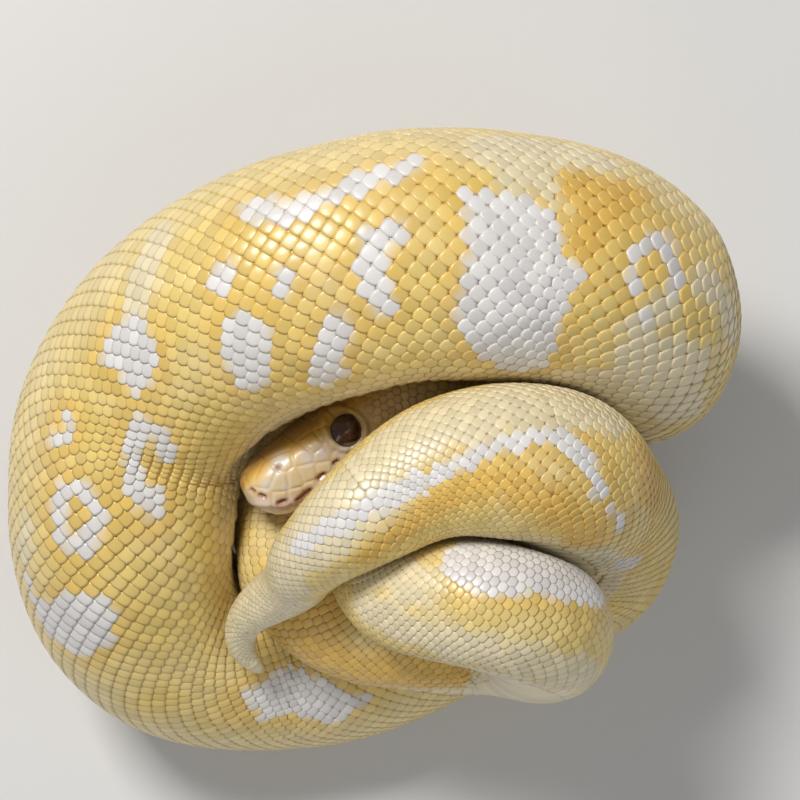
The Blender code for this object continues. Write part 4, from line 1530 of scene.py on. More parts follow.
@dataclass
class Layer:
    """Lays one shape many times on the flat unwrap, with Geometry Nodes, and wraps it on the body.

    Args:
        wrap: The skin.
        markings: The animal's pattern.
        finish: The scales' material.
        size_jitter: How much scales differ in size.
        turn_jitter: How much they turn, in radians.
        flat: Millimetres of the flat unwrap for one radian.
        patch: Half of what a scale covers of the map.
        map_edge: What is left free along the map's edges.
        at_root: How much a scale's colours are those of its root.
    """

    wrap: Wrap
    markings: Markings
    finish: Material
    size_jitter: float = 0.04
    turn_jitter: float = 0.05
    flat: float = 10.0
    patch: float = 0.0015
    map_edge: float = 0.005
    at_root: float = 0.76

    def tree(self) -> bpy.types.NodeTree:
        """The node tree that puts a shape on every root."""
        tree = bpy.data.node_groups.new("lay_scales", "GeometryNodeTree")
        for name, kind in (
            ("Roots", "Geometry"),
            ("Shape", "Object"),
            ("Finish", "Material"),
            ("Size Jitter", "Float"),
            ("Turn Jitter", "Float"),
            ("Seed", "Int"),
        ):
            tree.interface.new_socket(name, in_out="INPUT", socket_type=f"NodeSocket{kind}")
        tree.interface.new_socket("Scales", in_out="OUTPUT", socket_type="NodeSocketGeometry")
        g = Graph(tree)
        given = g.node("NodeGroupInput").outputs
        shape = g.value("GeometryNodeObjectInfo", None, "Geometry", Object=given["Shape"], As_Instance=True)
        settings = {"data_type": "FLOAT_VECTOR"}
        size = g.value("GeometryNodeInputNamedAttribute", settings, "Attribute", Name="size")
        growth = self.random(g, given["Seed"], g.maths("SUBTRACT", 1, given["Size Jitter"]), 1.0)
        turn = self.random(g, g.maths("ADD", given["Seed"], 1), -1.0, 1.0) * given["Turn Jitter"]
        grown = g.value("ShaderNodeVectorMath", {"operation": "SCALE"}, n0=size, n3=growth)
        turned = g.value("ShaderNodeCombineXYZ", None, Z=turn)
        laid = g.value(
            "GeometryNodeInstanceOnPoints",
            None,
            "Instances",
            Points=given["Roots"],
            Instance=shape,
            Rotation=turned,
            Scale=grown,
        )
        tone = self.random(g, g.maths("ADD", given["Seed"], 2), 0.0, 1.0)
        settings = {"data_type": "FLOAT", "domain": "INSTANCE"}
        toned = g.value("GeometryNodeStoreNamedAttribute", settings, Geometry=laid, Name="tone", Value=tone)
        real = g.value("GeometryNodeRealizeInstances", None, Geometry=toned)
        done = g.value("GeometryNodeSetMaterial", None, Geometry=real, Material=given["Finish"])
        g.node("NodeGroupOutput", None, n0=done)
        return tree

    @staticmethod
    def random(g: Graph, seed: Any, low: Any, high: Any) -> Value:
        """One chance number for each scale."""
        picked = g.node("FunctionNodeRandomValue", {"data_type": "FLOAT"}, n2=low, n3=high, Seed=seed)
        return Value(g, picked.outputs[1])

    def roots(self, name: str, row: Row) -> Item:
        """The scales' roots as loose points of a flat mesh."""
        ones = np.ones(len(row.along))
        mesh = plain_mesh(name, np.stack([row.along, row.angle * self.flat, 0.0 * ones], axis=1) * MM, [])
        store(mesh, "size", np.stack([ones, ones, self.wrap.depth(row.along)], axis=1) * MM)
        store(mesh, "root", np.stack([row.along, row.angle, np.arange(len(row.along))], axis=1))
        return put(name, mesh)

    def build(self, name: str, row: Row, shape: Item, tree: bpy.types.NodeTree) -> Item:
        """One piece of the coat.

        Args:
            name: The piece's name.
            row: Its scales.
            shape: The shape that is laid.
            tree: The node tree that lays it.

        Returns:
            The piece, with plain mesh.
        """
        item = self.roots(name, row)
        step = item.modifiers.new("lay", "NODES")
        step.node_group = tree
        given = {
            "Shape": shape,
            "Finish": self.finish,
            "Size Jitter": self.size_jitter,
            "Turn Jitter": self.turn_jitter,
            "Seed": SEED,
        }
        for socket in tree.interface.items_tree:
            if socket.name in given:
                step[socket.identifier] = given[socket.name]
        graph = bpy.context.evaluated_depsgraph_get()
        mesh = bpy.data.meshes.new_from_object(item.evaluated_get(graph))
        item.modifiers.remove(step)
        item.data = mesh
        mesh.name = name
        self.wrap_mesh(mesh, row)
        return item

    def wrap_mesh(self, mesh: Mesh, row: Row) -> None:
        """Move the flat scales on to the body and give them their markings and map."""
        flat = read_vectors(mesh.vertices, "co") / MM
        root, spot = (read_vectors(mesh.attributes[key].data) for key in ("root", "spot"))
        offset = flat[:, :2] - root[:, :2] * (1.0, self.flat)
        along, angle = row.spread(root, offset, np.round(root[:, 2]).astype(int))
        done = self.wrap.lay(along, angle, flat[:, 2])
        mesh.vertices.foreach_set("co", done.astype(np.float32).ravel())
        at_root, rest = self.at_root, 1 - self.at_root
        marks = self.markings.read(root[:, 0] * at_root + along * rest, root[:, 1] * at_root + angle * rest)
        for key, values in marks.items():
            store(mesh, key, values)
        sides = (root[:, 0], (root[:, 1] / TURN + 0.5) % 1.0)
        corners = np.stack([self.on_map(side, spot[:, k]) for k, side in enumerate(sides)], axis=1)
        add_map(mesh, corners[read_numbers(mesh.loops, "vertex_index")])
        for key in ("root", "size", "spot"):
            if key in mesh.attributes:
                mesh.attributes.remove(mesh.attributes[key])
        mesh.flip_normals()  # angles grow to the left, so the unwrap is a mirror image of the body
        mesh.update()

    def on_map(self, values: Array, spot: Array) -> Array:
        """One coordinate of the map: the roots' values spread over it, and a small patch round each."""
        share = (values - values.min()) / max(float(values.max() - values.min()), 1e-3)
        return share * (1 - 2 * self.map_edge) + self.map_edge + spot * self.patch


@dataclass
class ScaleCoat:
    """The small scales of back and sides, in rows along the body, each row half a scale behind the next.

    Args:
        layer: How scales are laid.
        head: The skull, for the places it leaves bare.
        bands: Start, end, rows and angle either side of the spine.
        widening: How much wider the rows are low on the flank.
        pitch: Distances from the snout and scale spacing there.
        head_pitch: The same on the head.
        neck: Where the head's spacing gives way to the body's.
        stretch_range: The least and most that the skin stretches.
        window: Rings that the stretch is evened out over.
        reach: Most reach of a scale, over its room in the row.
        ends: Scales keep this far off the snout and the tail's tip.
        most: The most scales of one piece.
    """

    layer: Layer
    head: "Head"
    bands: tuple[tuple[float, float, int, float], ...] = (
        (10.0, 43.0, 54, 180.0),
        (43.0, 556.0, 55, 138.0),
        (556.0, 580.0, 47, 141.0),
        (580.0, 600.0, 39, 145.0),
        (600.0, 616.0, 29, 149.0),
        (616.0, 627.0, 21, 152.0),
    )
    widening: float = 0.12
    pitch: tuple[Pair, ...] = (
        (60.0, 1.25), (100.0, 1.32), (165.0, 1.4), (210.0, 1.75), (270.0, 2.0), (340.0, 2.15),
        (430.0, 2.1), (500.0, 1.8), (545.0, 1.5), (575.0, 1.42), (600.0, 1.25), (628.0, 1.0),
    )
    head_pitch: tuple[Pair, ...] = ((10.0, 0.95), (20.0, 1.1), (32.0, 1.2), (60.0, 1.25))
    neck: Pair = (46.0, 60.0)
    stretch_range: Pair = (0.4, 2.0)
    window: int = 25
    reach: float = 0.72
    ends: Pair = (9.0, 1.0)
    most: int = 2800

    def spacing(self) -> Array:
        """Room for each scale of a row on the path, at every ring of the wrap."""
        along = self.layer.wrap.along
        share = ease(along, *self.neck)
        return read_table(along, self.head_pitch) * (1 - share) + read_table(along, self.pitch) * share

    def stretch(self, angle: float) -> Array:
        """How much longer the skin is than the path under it, evened out, at every ring of the wrap."""
        wrap = self.layer.wrap
        column = int(round(angle / TURN * wrap.sides)) % wrap.sides
        window = np.hanning(self.window)
        stretch = np.clip(wrap.stretch[:, column], *self.stretch_range)
        padded = np.pad(stretch, self.window // 2, mode="edge")
        return np.convolve(padded, window / window.sum(), mode="valid")

    def row(self, number: int, angle: float, gauge: float, start: float, end: float) -> Row:
        """One row of scales.

        Args:
            number: Which row it is; odd ones lie half a scale further on.
            angle: Its angle.
            gauge: The angle between rows.
            start: Where it starts.
            end: Where it ends.

        Returns:
            The row.
        """
        wrap = self.layer.wrap
        spacing, stretch = self.spacing(), self.stretch(angle)
        phase = np.cumsum(wrap.step / spacing)
        first, last = np.interp((start, end), wrap.along, phase)
        places = np.arange(math.ceil(first), math.floor(last) + 1) + 0.5 * (number % 2)
        along = np.interp(places[(places >= first) & (places < last)], phase, wrap.along)
        ones = np.ones_like(along)
        return Row(along, angle * ones, np.interp(along, wrap.along, spacing * stretch), gauge * ones)

    def rows(self) -> Cells:
        """Every scale's root, outline and axes."""
        body = self.layer.wrap.body
        found = []
        for start, end, count, spread in self.bands:
            if spread < 180:
                u = np.linspace(-1, 1, count)
                centres = math.radians(spread) * (u + self.widening * u**3) / (1 + self.widening)
                gauge = np.gradient(centres)
            else:
                centres = (np.arange(count) - count // 2) * 2 * math.pi / count
                gauge = np.full(count, 2 * math.pi / count)
            found += [self.row(k, float(centres[k]), float(gauge[k]), start, end) for k in range(count)]
        every = Row.joined(found)
        every = every.only(self.head.scaled(every.along, every.angle))
        room = Room(self.layer.wrap)
        pitch, gauge = every.half_long, every.half_wide * body.section_width(every.along)
        along, angle = room.evened(every.along, every.angle, pitch, gauge)
        kept = (along > self.ends[0]) & (along < body.length - self.ends[1])
        kept &= self.head.scaled(along, angle)
        along, angle, pitch = along[kept], angle[kept], pitch[kept]
        outline, axes = room.outlines(along, angle, self.reach * pitch)
        return Cells(along, angle, pitch, pitch, outline, axes)

    def build(self) -> list[Item]:
        """The pieces of the coat, from head to tail."""
        every = self.rows()
        every = every.only(np.argsort(every.along))
        count = math.ceil(len(every.along) / self.most)
        cuts = np.linspace(0, len(every.along), count + 1).astype(int)
        shape = ScaleShape().build("scale_shape")
        tree = self.layer.tree()
        pieces = []
        for k in range(count):
            part = every.only(np.arange(cuts[k], cuts[k + 1]))
            pieces.append(self.layer.build(f"scales_{k + 1}", part, shape, tree))
        bpy.data.objects.remove(shape, do_unlink=True)
        return pieces


@dataclass
class BellyCoat:
    """The wide belly plates, one for each step of the body.

    Args:
        layer: How plates are laid.
        start: The first plate's distance from the snout.
        pitch: Plate spacing at no half width and for each millimetre.
        half_angle: Half the belly's angle on the body and the tail.
        vent: Where the tail starts.
        tail_gap: Distance of the last plate from the tail's tip.
        lap: A plate's length over the distance to the next.
    """

    layer: Layer
    start: float = 41.0
    pitch: Pair = (0.35, 0.17)
    half_angle: Pair = (44.0, 34.0)
    vent: float = 571.0
    tail_gap: float = 3.0
    lap: float = 1.2

    def build(self) -> Item:
        """The plates as one piece."""
        wrap = self.layer.wrap
        spacing = self.pitch[0] + self.pitch[1] * wrap.body.half_width(wrap.along)
        phase = np.cumsum(wrap.step / spacing)
        first, last = np.interp((self.start, wrap.body.length - self.tail_gap), wrap.along, phase)
        along = np.interp(np.arange(math.ceil(first), math.floor(last)), phase, wrap.along)
        long = np.interp(along, wrap.along, spacing) / 2 * self.lap
        wide = np.radians(np.where(along < self.vent, *self.half_angle))
        row = Row(along, np.full_like(along, math.pi), long, wide)
        shape = PlateShape().build("plate_shape")
        piece = self.layer.build("belly_plates", row, shape, self.layer.tree())
        bpy.data.objects.remove(shape, do_unlink=True)
        return piece


# ---- head ----------------------------------------------------------------------------------------
@dataclass
class Head:
    """The skull's own features: lips, heat pits, nostrils, shields and the rims of the eyes.

    Args:
        body: The settled body.
        wrap: The skin's grid.
        lip_width: How far the lip shields reach from the mouth.
        mouth_end: The corner of the mouth.
        eye_rim: Radius of the eye's rim.
        eye_shift: Middle of the eye's front, tailward and up.
        bare_eye: Radius round the eye without scales.
        ring: Radius of the groove outside the eye's rim.
        crown: Where scales start on the crown, and how they slant back.
        crown_side: Angles between which they do.
        throat: Angle and distance from which the throat has scales.
        bare_lips: Angle the bare lips start at, and how far they pass the mouth's corner.
        skull_end: The rules for the skull end here.
        plates: Angle and distance from which belly plates lie instead.
        shields: Distance and angle of each shield's middle.
        pits: Distance, angle and radius of the heat pits' hollows.
        nostril: The nostril's.
        pale_spots: Those of the pale spots on the snout and cheek.
        lips: Lip shields' height over the mouth line, and spacing.
        tips: Shields at the ends of the jaw and snout.
        mouth_depth: Depth of the mouth's line.
        lip_height: How far the upper lip stands out over the lower.
        shield_height: How far the middle of a shield stands out.
        groove_depth: Depth of the grooves between shields.
        rim_height: Height of the eye's rim.
        ring_depth: Depth of the groove outside it.
        pit_depth: Depth of the heat pits and nostrils.
    """

    body: Body
    wrap: Wrap
    lip_width: float = 2.3
    mouth_end: float = 28.0
    eye_rim: float = 2.85
    eye_shift: Pair = (-0.2, 0.4)
    bare_eye: float = 3.7
    ring: float = 3.65
    crown: Pair = (14.6, 7.2)
    crown_side: Pair = (34.0, 60.0)
    throat: Pair = (110.0, 11.0)
    bare_lips: Pair = (50.0, 1.5)
    skull_end: float = 30.0
    plates: Pair = (139.0, 42.0)
    shields: tuple[Pair, ...] = (
        (2.2, 28), (3.6, 64), (6.3, 60), (7.5, 25), (9.6, 70), (12.0, 22), (12.0, 62), (12.2, 82),
        (11.6, 98), (9.0, 92), (5.0, 86), (15.4, 42), (18.6, 36), (16.5, 12), (14.2, 60), (14.0, 76),
        (14.4, 92), (17.0, 102), (20.0, 98), (21.6, 62), (21.8, 80), (20.4, 46), (21.0, 14), (6.9, 92),
    )
    pits: tuple[Triple, ...] = (
        (0.7, 81, 0.34), (0.9, 86, 0.34), (1.5, 101, 0.42), (1.8, 105, 0.42), (3.5, 123.5, 0.42),
        (3.9, 123, 0.46), (4.3, 122.5, 0.42), (6.2, 127, 0.44), (6.7, 126, 0.52), (7.2, 124.5, 0.58),
        (7.7, 123, 0.6), (8.2, 121, 0.5), (10.2, 109, 0.42), (10.6, 108, 0.46), (11.0, 107, 0.42),
        (13.2, 99, 0.36), (13.6, 98, 0.36),
    )
    nostril: Triple = (5.5, 64, 0.42)
    pale_spots: tuple[Triple, ...] = (
        (6.3, 57, 1.5), (5.0, 66, 1.2), (10.2, 74, 1.3), (12.2, 77, 1.1), (3.2, 80, 0.7), (2.4, 86, 0.6),
        (5.2, 98, 0.7), (15.0, 88, 1.1),
    )
    lips: tuple[Pair, ...] = ((1.25, 2.35), (-1.35, 2.5))
    tips: tuple[Pair, ...] = ((0.5, math.pi), (0.4, 0.0))
    mouth_depth: float = 0.42
    lip_height: float = 0.16
    shield_height: float = 0.10
    groove_depth: float = 0.07
    rim_height: float = 0.55
    ring_depth: float = 0.10
    pit_depth: float = 0.65

    def local(self, places: Array) -> tuple[Array, ...]:
        """Distance behind the snout, to the left and up, in the skull's own directions."""
        centre, tailward, back, left = self.body.axes(np.array([0.0]))
        run = places - centre[0]
        return run @ tailward[0], run @ left[0], run @ back[0]

    def over_mouth(self, places: Array) -> Array:
        """Height over the mouth line."""
        behind, _, up = self.local(places)
        return up - read_table(behind, MOUTH_LINE)

    def from_eye(self, places: Array) -> tuple[Array, Array]:
        """Distance from the nearer eye's axis, and the turn about it."""
        behind, side, up = self.local(places)
        eye_behind, _, eye_up = self.local(self.body.eye_centre(1))
        back, rise = behind - eye_behind - self.eye_shift[0], up - eye_up - self.eye_shift[1]
        return np.where(np.abs(side) > 1.0, np.hypot(back, rise), 99.0), np.arctan2(rise, back)

    def spots(self, table: Sequence[Sequence[float]]) -> Array:
        """Places on both sides of the head, from distances and angles."""
        along = np.array([row[0] for row in table] * 2, float)
        angle = np.radians([row[1] for row in table] + [-row[1] for row in table])
        return self.wrap.at(along, angle)

    def lip_shields(self) -> Array:
        """Middles of the shields along both lips, on both sides."""
        found = []
        angle = np.linspace(0.35, math.pi, 400)  # down one side of the head
        for offset, spacing in self.lips:
            for along in np.arange(1.5, self.mouth_end + 1.0, spacing):
                ring = self.wrap.at(np.full(len(angle), along), angle)
                j = np.abs(self.over_mouth(ring) - offset).argmin()
                found += [(along, angle[j]), (along, -angle[j])]
        return self.wrap.at(*np.array([*found, *self.tips]).T)

    def scaled(self, along: Array, angle: Array) -> Array:
        """Which places carry small scales rather than shields."""
        places = self.wrap.at(along, angle)
        turn = np.degrees(np.abs(from_spine(angle)))
        over = self.over_mouth(places)
        start = self.crown[0] + self.crown[1] * ease(turn, *self.crown_side)
        throat = (over < -self.lip_width) & (turn > self.throat[0]) & (along > self.throat[1])
        lips = (np.abs(over) < self.lip_width) & (along < self.mouth_end + self.bare_lips[1])
        lips &= turn > self.bare_lips[0]
        eye = self.from_eye(places)[0] < self.bare_eye
        on_head = ((along > start) & (over > 0) | throat) & ~lips & ~eye
        behind_head = (turn < self.plates[0]) | (along < self.plates[1])
        return np.where(along < self.skull_end, on_head, behind_head)

    @staticmethod
    def nearest(places: Array, sites: Array) -> tuple[Array, Array]:
        """Distances to the nearest and second nearest site."""
        away = np.linalg.norm(places[:, None] - sites[None], axis=2)
        two = np.partition(away, 1, axis=1)[:, :2]
        return two[:, 0], two[:, 1]

    def hollow(self, places: Array, table: Sequence[Triple]) -> Array:
        """How deep in one of a few round hollows each place is, from 0 to 1."""
        sizes = np.array([row[2] for row in table] * 2)
        away = np.linalg.norm(places[:, None] - self.spots(table)[None], axis=2)
        return hump(away, sizes).max(axis=1)

    def relief(self, places: Array, along: Array, angle: Array) -> tuple[Array, Array]:
        """How far the head's skin stands out at each place, and how much painted groove shade it takes.

        Args:
            places: Places on the plain skin.
            along: Their distances along the body.
            angle: Their angles.

        Returns:
            Heights in millimetres, and painted shade in the grooves, the mouth's line and the ring round
            the eye, from 0 to 1.
        """
        over = self.over_mouth(places)
        fade = 1 - ease(along, self.mouth_end - 1.5, self.mouth_end + 0.5)
        mouth = hump(over, 0.24) * fade
        upper, lower = hump(over - 0.75, 0.6) * fade, hump(over + 0.7, 0.6) * fade
        height = -self.mouth_depth * mouth + self.lip_height * upper - self.lip_height * lower
        near, second = self.nearest(places, np.concatenate([self.spots(self.shields), self.lip_shields()]))
        groove = 1 - ease(second - near, 0.03, 0.36)
        bare = 1.0 - self.scaled(along, angle)
        height += bare * (self.shield_height * ease(second - near, 0.0, 1.0) - self.groove_depth * groove)
        rim, turn = self.from_eye(places)
        bead = 1 + 0.07 * np.cos(16 * turn)
        ring = hump(rim - self.ring, 0.22)
        height += self.rim_height * hump(rim - self.eye_rim, 0.45) * bead - self.ring_depth * ring
        sunk = np.maximum(self.hollow(places, self.pits), self.hollow(places, (self.nostril,)))
        height -= self.pit_depth * sunk
        # painted shade in the shield grooves, the mouth's crease and the groove round the eye
        edge = np.maximum(np.maximum(groove * bare * 0.72, 1 - bare), mouth)
        edge = np.maximum(edge, ring * 0.6)
        return height, np.clip(edge, 0, 1)

    def tint(self, along: Array, angle: Array) -> dict[str, Array]:
        """The head's colours, from 0 to 1, by attribute name: its own, a painted shadow on its top and
        painted shade in its pits.
        """
        places = self.wrap.at(along, angle)
        turn = np.degrees(np.abs(from_spine(angle)))
        over = self.over_mouth(places)
        fade = 1 - ease(along, self.mouth_end - 2, self.mouth_end + 5)
        lip = (1 - ease(np.abs(over + 0.1), 1.7, 2.5)) * fade
        top = 1 - ease(turn, 50, 76)
        pits, nostril = self.hollow(places, self.pits), self.hollow(places, (self.nostril,))
        return {
            "white": self.hollow(places, self.pale_spots) * 0.9,
            "pale": ease(turn, 60, 90) * 0.45 * (1 - ease(along, 30, 46)),
            "gold": np.maximum(top, 0.35) * (1 - ease(along, 24, 40)),
            # painted shadow of the coil on the crown and the snout's top
            "brown": (1 - ease(turn, 26, 64)) * (1 - ease(along, 22, 48)) * 0.6,
            "blush": np.maximum(lip * 0.8, 0.3 * ease(turn, 50, 70) * fade),
            # painted shade deep in the heat pits and nostrils
            "pit": np.maximum(pits, 0.6 * nostril) ** 0.7,
        }


@dataclass
class Skin:
    """One skin over the whole animal, under the scales and in one with the head's shields.

    Args:
        body: The settled body.
        wrap: The skin's grid.
        head: The skull's features.
        markings: The animal's pattern.
        finish: The skin's material.
        fine_end: The head's fine mesh ends here.
        fine_step: Its ring spacing.
        fine_sides: Places on its rings.
        coarse_step: Ring spacing of the rest.
        head_share: Share of the map that the head gets.
        body_edge: How much painted groove shade the body's skin takes where it shows between the scales.
        tone: Its shade, from the darkest scale's, 0, to the lightest's.
        tip_rings: Extra rings at the blunt snout.
        nodes: The nodes it replaces besides those of the trunk.
    """

    body: Body
    wrap: Wrap
    head: Head
    markings: Markings
    finish: Material
    fine_end: float = 34.0
    fine_step: float = 0.2
    fine_sides: int = 240
    coarse_step: float = 1.7
    head_share: float = 0.35
    body_edge: float = 0.85
    tone: float = 0.45
    tip_rings: int = 10
    nodes: tuple[str, ...] = ("head", "lower_jaw", "neck", "tail_base", "tail_tip")

    def fine_places(self, along: Array, angle: Array) -> tuple[Array, Array]:
        """The head's rings with their relief, and how much painted groove shade each place takes."""
        plain = self.body.surface(along, angle, self.wrap.depth(along))
        ahead = np.gradient(plain, along, axis=0)
        outward = unit(np.cross(np.roll(plain, -1, axis=1) - np.roll(plain, 1, axis=1), ahead))
        every = np.repeat(along, len(angle))
        height, edge = self.head.relief(plain.reshape(-1, 3), every, np.tile(angle, len(along)))
        height = height.reshape(plain.shape[:2]) * ease(along, 0.0, 0.6)[:, None]
        height *= (1 - ease(along, self.fine_end - 2, self.fine_end))[:, None]
        return plain + outward * height[:, :, None], edge

    def build(self) -> Item:
        """The skin as one closed piece."""
        sides = self.fine_sides
        fine_angle = -math.pi + turns(sides)
        rough_angle = fine_angle[::2]
        front = (np.arange(1, self.tip_rings + 1) * 0.1) ** 2  # closer together towards the tip
        fine = np.concatenate([front, np.arange(front[-1] + self.fine_step, self.fine_end, self.fine_step)])
        end = self.body.length - self.wrap.tail_round - 0.1
        rough = np.linspace(self.fine_end + 0.3, end, int((end - self.fine_end) / self.coarse_step))
        head_places, edge = self.fine_places(fine, fine_angle)
        head_places = (head_places.reshape(-1, 3) + self.body.shift) * MM
        along, angle = np.repeat(rough, sides // 2), np.tile(rough_angle, len(rough))
        rest = self.wrap.lay(along, angle, np.zeros(len(along)))
        tips = self.body.world(self.body.read_path(np.array([0.0, self.body.length])))
        points = np.concatenate([head_places, rest, tips])
        points = np.clip(points, self.wrap.low * MM, self.wrap.high * MM)
        every_along = np.concatenate([np.repeat(fine, sides), along, [0.0, self.body.length]])
        every_angle = np.concatenate([np.tile(fine_angle, len(fine)), angle, [0.0, 0.0]])
        # the body's skin shows only between the scales, so it takes painted groove shade
        edge = np.concatenate([edge, np.full(len(along) + 2, self.body_edge)])
        mesh = plain_mesh("skin", points, self.faces(len(fine), len(rough), len(points)))
        for key, values in self.markings.read(every_along, every_angle).items():
            store(mesh, key, values)
        store(mesh, "edge", edge)
        store(mesh, "tone", np.full(len(points), self.tone))
        mesh.materials.append(self.finish)
        self.map_skin(mesh, every_along, every_angle)
        return put("skin", mesh)

    def faces(self, fine: int, rough: int, count: int) -> list[tuple[int, ...]]:
        """Faces of the head's rings, the body's rings of half as many places, and both tips."""
        sides, half = self.fine_sides, self.fine_sides // 2
        faces = ring_faces(0, fine, sides)
        last, first = (fine - 1) * sides, fine * sides
        for j in range(half):
            a, b, c = last + 2 * j, last + 2 * j + 1, last + (2 * j + 2) % sides
            d, e = first + j, first + (j + 1) % half
            faces += [(a, b, d), (b, c, e), (b, e, d)]
        faces += ring_faces(first, rough, half)
        end = first + (rough - 1) * half
        faces += [(count - 2, (j + 1) % sides, j) for j in range(sides)]
        faces += [(end + j, end + (j + 1) % half, count - 1) for j in range(half)]
        return faces

    def map_skin(self, mesh: Mesh, along: Array, angle: Array) -> None:
        """Unroll the skin: distance along the body one way and the angle the other, cut along the belly."""
        u = np.interp(along, (0.0, 45.0, self.body.length), (0.0, self.head_share, 1.0))
        v = angle / TURN + 0.5
        vertex = read_numbers(mesh.loops, "vertex_index")
        starts = read_numbers(mesh.polygons, "loop_start")
        face = np.repeat(np.arange(len(starts)), read_numbers(mesh.polygons, "loop_total"))
        corner_v = v[vertex]
        tip = vertex >= len(along) - 2
        most = np.maximum.reduceat(np.where(tip, 0, corner_v), starts)[face]
        corner_v = np.where((most - corner_v > 0.5) & ~tip, corner_v + 1.0, corner_v)
        total = np.add.reduceat(np.where(tip, 0, corner_v), starts)[face] / 2
        corner_v = np.where(tip, total, corner_v)
        add_map(mesh, np.stack([u[vertex], corner_v], axis=1))


@dataclass
class Eyes:
    """Both eyes, smooth domes set in the head.

    Args:
        body: The settled body.
        finish: The eyes' material.
        radius: The dome's own radius of curvature.
        seen: Radius of the part that shows.
        lean: How far it looks tailward and up.
        segments: Places on each ring.
        dome_rings: Rings of the part that shows.
        wall: Depth and size of the rings behind the dome's rim.
        slit_width: Half the width of the slit pupil.
        slit_length: Where the slit starts and ends to fade.
        slit_turn: How far it is turned, in radians.
        behind: What the rings behind have as their distance.
    """

    body: Body
    finish: Material
    radius: float = 3.2
    seen: float = 2.5
    lean: Pair = (-0.07, 0.16)
    segments: int = 72
    dome_rings: int = 16
    wall: tuple[Pair, ...] = ((0.12, 1.02), (0.8, 1.03), (1.6, 0.9), (2.0, 0.5))
    slit_width: float = 0.16
    slit_length: Pair = (1.1, 1.5)
    slit_turn: float = 0.5
    behind: float = 1.5

    def build(self, side: int, word: str) -> Item:
        """One eye, 1 left and -1 right."""
        _, tailward, back, left = (part[0] for part in self.body.axes(np.array([self.body.eye_back])))
        front = unit(side * left + self.lean[0] * tailward + self.lean[1] * back)
        up = unit(back - front * float(back @ front))
        over = np.cross(up, front)
        polar = np.arange(1, self.dome_rings + 1) * math.asin(self.seen / self.radius) / self.dome_rings
        rim = self.radius * math.cos(polar[-1])
        wall = np.array(self.wall)
        out = np.concatenate([self.radius * np.sin(polar), wall[:, 1] * self.seen])
        high = np.concatenate([self.radius * np.cos(polar), rim - wall[:, 0]])
        rings = len(out)
        turn = np.tile(turns(self.segments), rings)
        out, high = np.repeat(out, self.segments), np.repeat(high, self.segments)
        flat = np.stack([out * np.cos(turn), out * np.sin(turn), high], axis=1)
        flat = np.concatenate([flat, [[0, 0, self.radius], [0, 0, rim - wall[-1, 0]]]])
        places = self.body.eye_centre(side) + flat @ np.stack([over, up, front])
        mesh = plain_mesh(f"eye_ball_{word}", self.body.world(places), self.faces(rings))
        x, y = flat[:, 0], flat[:, 1]
        across = x * math.cos(self.slit_turn) - y * math.sin(self.slit_turn)
        length = x * math.sin(self.slit_turn) + y * math.cos(self.slit_turn)
        away = np.where(flat[:, 2] > rim - 0.01, np.hypot(x, y) / self.seen, self.behind)
        # where the painted sheen along the slit pupil lies
        slit = hump(across, self.slit_width) * (1 - ease(np.abs(length), *self.slit_length))
        store(mesh, "slit", slit * (away < self.behind))
        store(mesh, "away", np.clip(away, 0, self.behind))
        radius = np.maximum(np.hypot(x, y), 0.05)
        store(mesh, "turn", np.arcsin(np.clip(y / radius, -1, 1)) * np.where(x > 0, 1.0, 0.7))
        mesh.materials.append(self.finish)
        return put(f"eye_ball_{word}", mesh)

    def faces(self, rings: int) -> list[tuple[int, ...]]:
        """Faces of a ball, with both poles last."""
        n, faces = self.segments, []
        for k in range(n):
            faces.append((rings * n, k, (k + 1) % n))
            faces.append((rings * n + 1, (rings - 1) * n + (k + 1) % n, (rings - 1) * n + k))
        return faces + [(a, d, c, b) for a, b, c, d in ring_faces(0, rings, n)]


# ---- studio --------------------------------------------------------------------------------------
@dataclass(frozen=True)
class Lamp:
    """One soft light.

    Args:
        name: Its name.
        place: Where it stands, in metres.
        size: How wide it is.
        power: Its power in watts.
        colour: Its colour.
    """

    name: str
    place: Triple
    size: float
    power: float
    colour: Colour = (1.0, 1.0, 1.0)

    def build(self, target: Vector) -> Item:
        """The light, turned to the animal."""
        data = bpy.data.lights.new(self.name, "AREA")
        data.size = self.size
        data.energy = self.power
        data.color = self.colour
        item = bpy.data.objects.new(self.name, data)
        item.location = self.place
        item.rotation_euler = (target - item.location).to_track_quat("-Z", "Y").to_euler()
        bpy.context.scene.collection.objects.link(item)
        return item


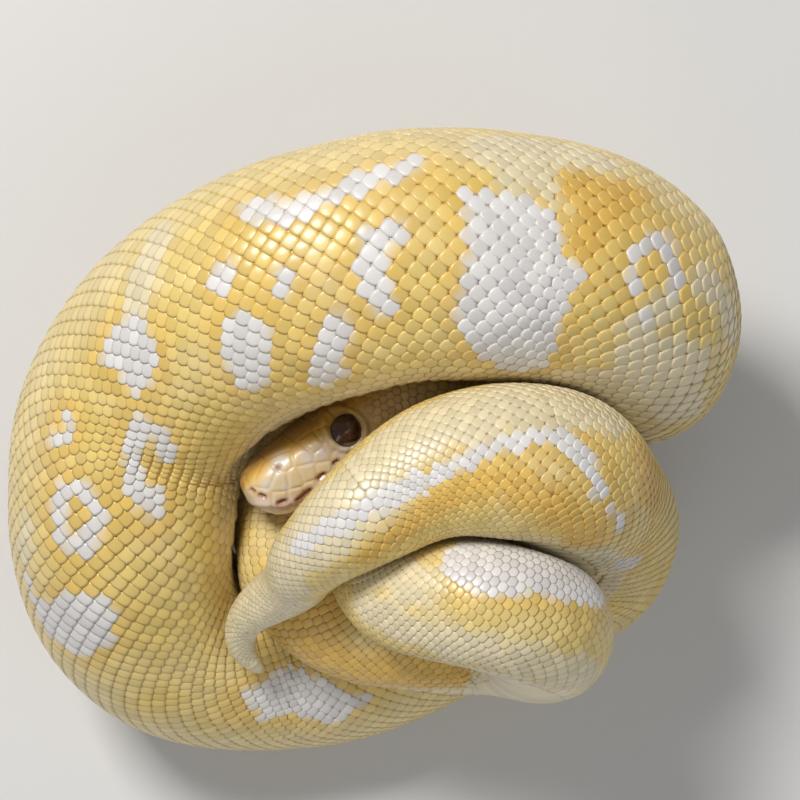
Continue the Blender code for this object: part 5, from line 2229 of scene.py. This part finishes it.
@dataclass
class Studio:
    """Floor, light and camera.

    Args:
        body: The settled body, for its place in the frame.
        camera_height: The camera looks straight down from here.
        lens: Its focal length.
        sensor: Width of its sensor.
        near: Nothing nearer than this shows, in metres.
        floor_size: Width of the floor, in metres.
        sky: Colour of the light from all round.
        sky_strength: Its strength.
        aim: Height that the lamps look at, in metres.
        lamps: The lamps.
    """

    body: Body
    camera_height: float = 490.0
    lens: float = 129.6
    sensor: float = 36.0
    near: float = 0.01
    floor_size: float = 3.0
    sky: Colour = (0.80, 0.82, 0.85)
    sky_strength: float = 0.19
    aim: float = 0.04
    lamps: tuple[Lamp, ...] = (
        Lamp("key", (-0.24, 0.33, 0.60), 0.18, 4.1, (1.0, 0.98, 0.95)),
        Lamp("fill", (0.45, -0.25, 0.55), 0.60, 0.85, (0.95, 0.97, 1.0)),
        Lamp("front", (-0.20, -0.55, 0.40), 0.50, 0.7),
    )

    def build(self) -> Item:
        """The whole studio; gives the floor."""
        x, y = self.body.shift[0] * MM, self.body.shift[1] * MM
        for lamp in self.lamps:
            lamp.build(Vector((x, y, self.aim)))
        data = bpy.data.cameras.new("studio camera")
        data.lens = self.lens
        data.sensor_width = self.sensor
        data.clip_start = self.near
        camera = bpy.data.objects.new("studio camera", data)
        camera.location = (x, y, self.camera_height * MM)
        bpy.context.scene.collection.objects.link(camera)
        bpy.context.scene.camera = camera
        world = bpy.data.worlds.new("studio air")
        world.use_nodes = True
        background = world.node_tree.nodes["Background"]
        background.inputs["Color"].default_value = rgba(self.sky)
        background.inputs["Strength"].default_value = self.sky_strength
        bpy.context.scene.world = world
        bpy.context.scene.view_settings.view_transform = "Standard"
        return self.floor()

    def floor(self) -> Item:
        """A plain floor the animal rests on."""
        half = self.floor_size / 2
        corners = np.array([(x * half, y * half, 0.0) for x, y in ((-1, -1), (1, -1), (1, 1), (-1, 1))])
        mesh = plain_mesh("studio_floor", corners, [(0, 1, 2, 3)])
        mesh.materials.append(FloorFinish().build())
        floor = put("studio_floor", mesh)
        return floor


def report(item: Item) -> None:
    """Log a finished piece's size."""
    count = sum(len(face.vertices) - 2 for face in item.data.polygons)
    LOG.info("%s: %d triangles", item.name, count)


def dress(item: Item, nodes: Sequence[str] = ()) -> None:
    """Let a piece move with the body and stand for the nodes it replaces."""
    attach(item, BODY)
    if nodes:
        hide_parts(*nodes)
    report(item)


def main() -> None:
    """Build the animal and its studio."""
    logging.basicConfig(level=logging.INFO, format="%(message)s")
    body = Body()
    wrap = Wrap(body)
    head = Head(body, wrap)
    markings = Markings(wrap, head)
    finish = ScaleFinish().build()
    skin = Skin(body, wrap, head, markings, finish)
    trunk = tuple(f"trunk_{k}" for k in range(1, 10))
    dress(skin.build(), skin.nodes + trunk)
    layer = Layer(wrap, markings, finish)
    for piece in ScaleCoat(layer, head).build():
        dress(piece)
    dress(BellyCoat(layer).build())
    eyes = Eyes(body, EyeFinish().build())
    for side, word in ((1, "left"), (-1, "right")):
        dress(eyes.build(side, word), (f"eye_{word}",))
    Studio(body).build()


if __name__ == "__main__":
    main()
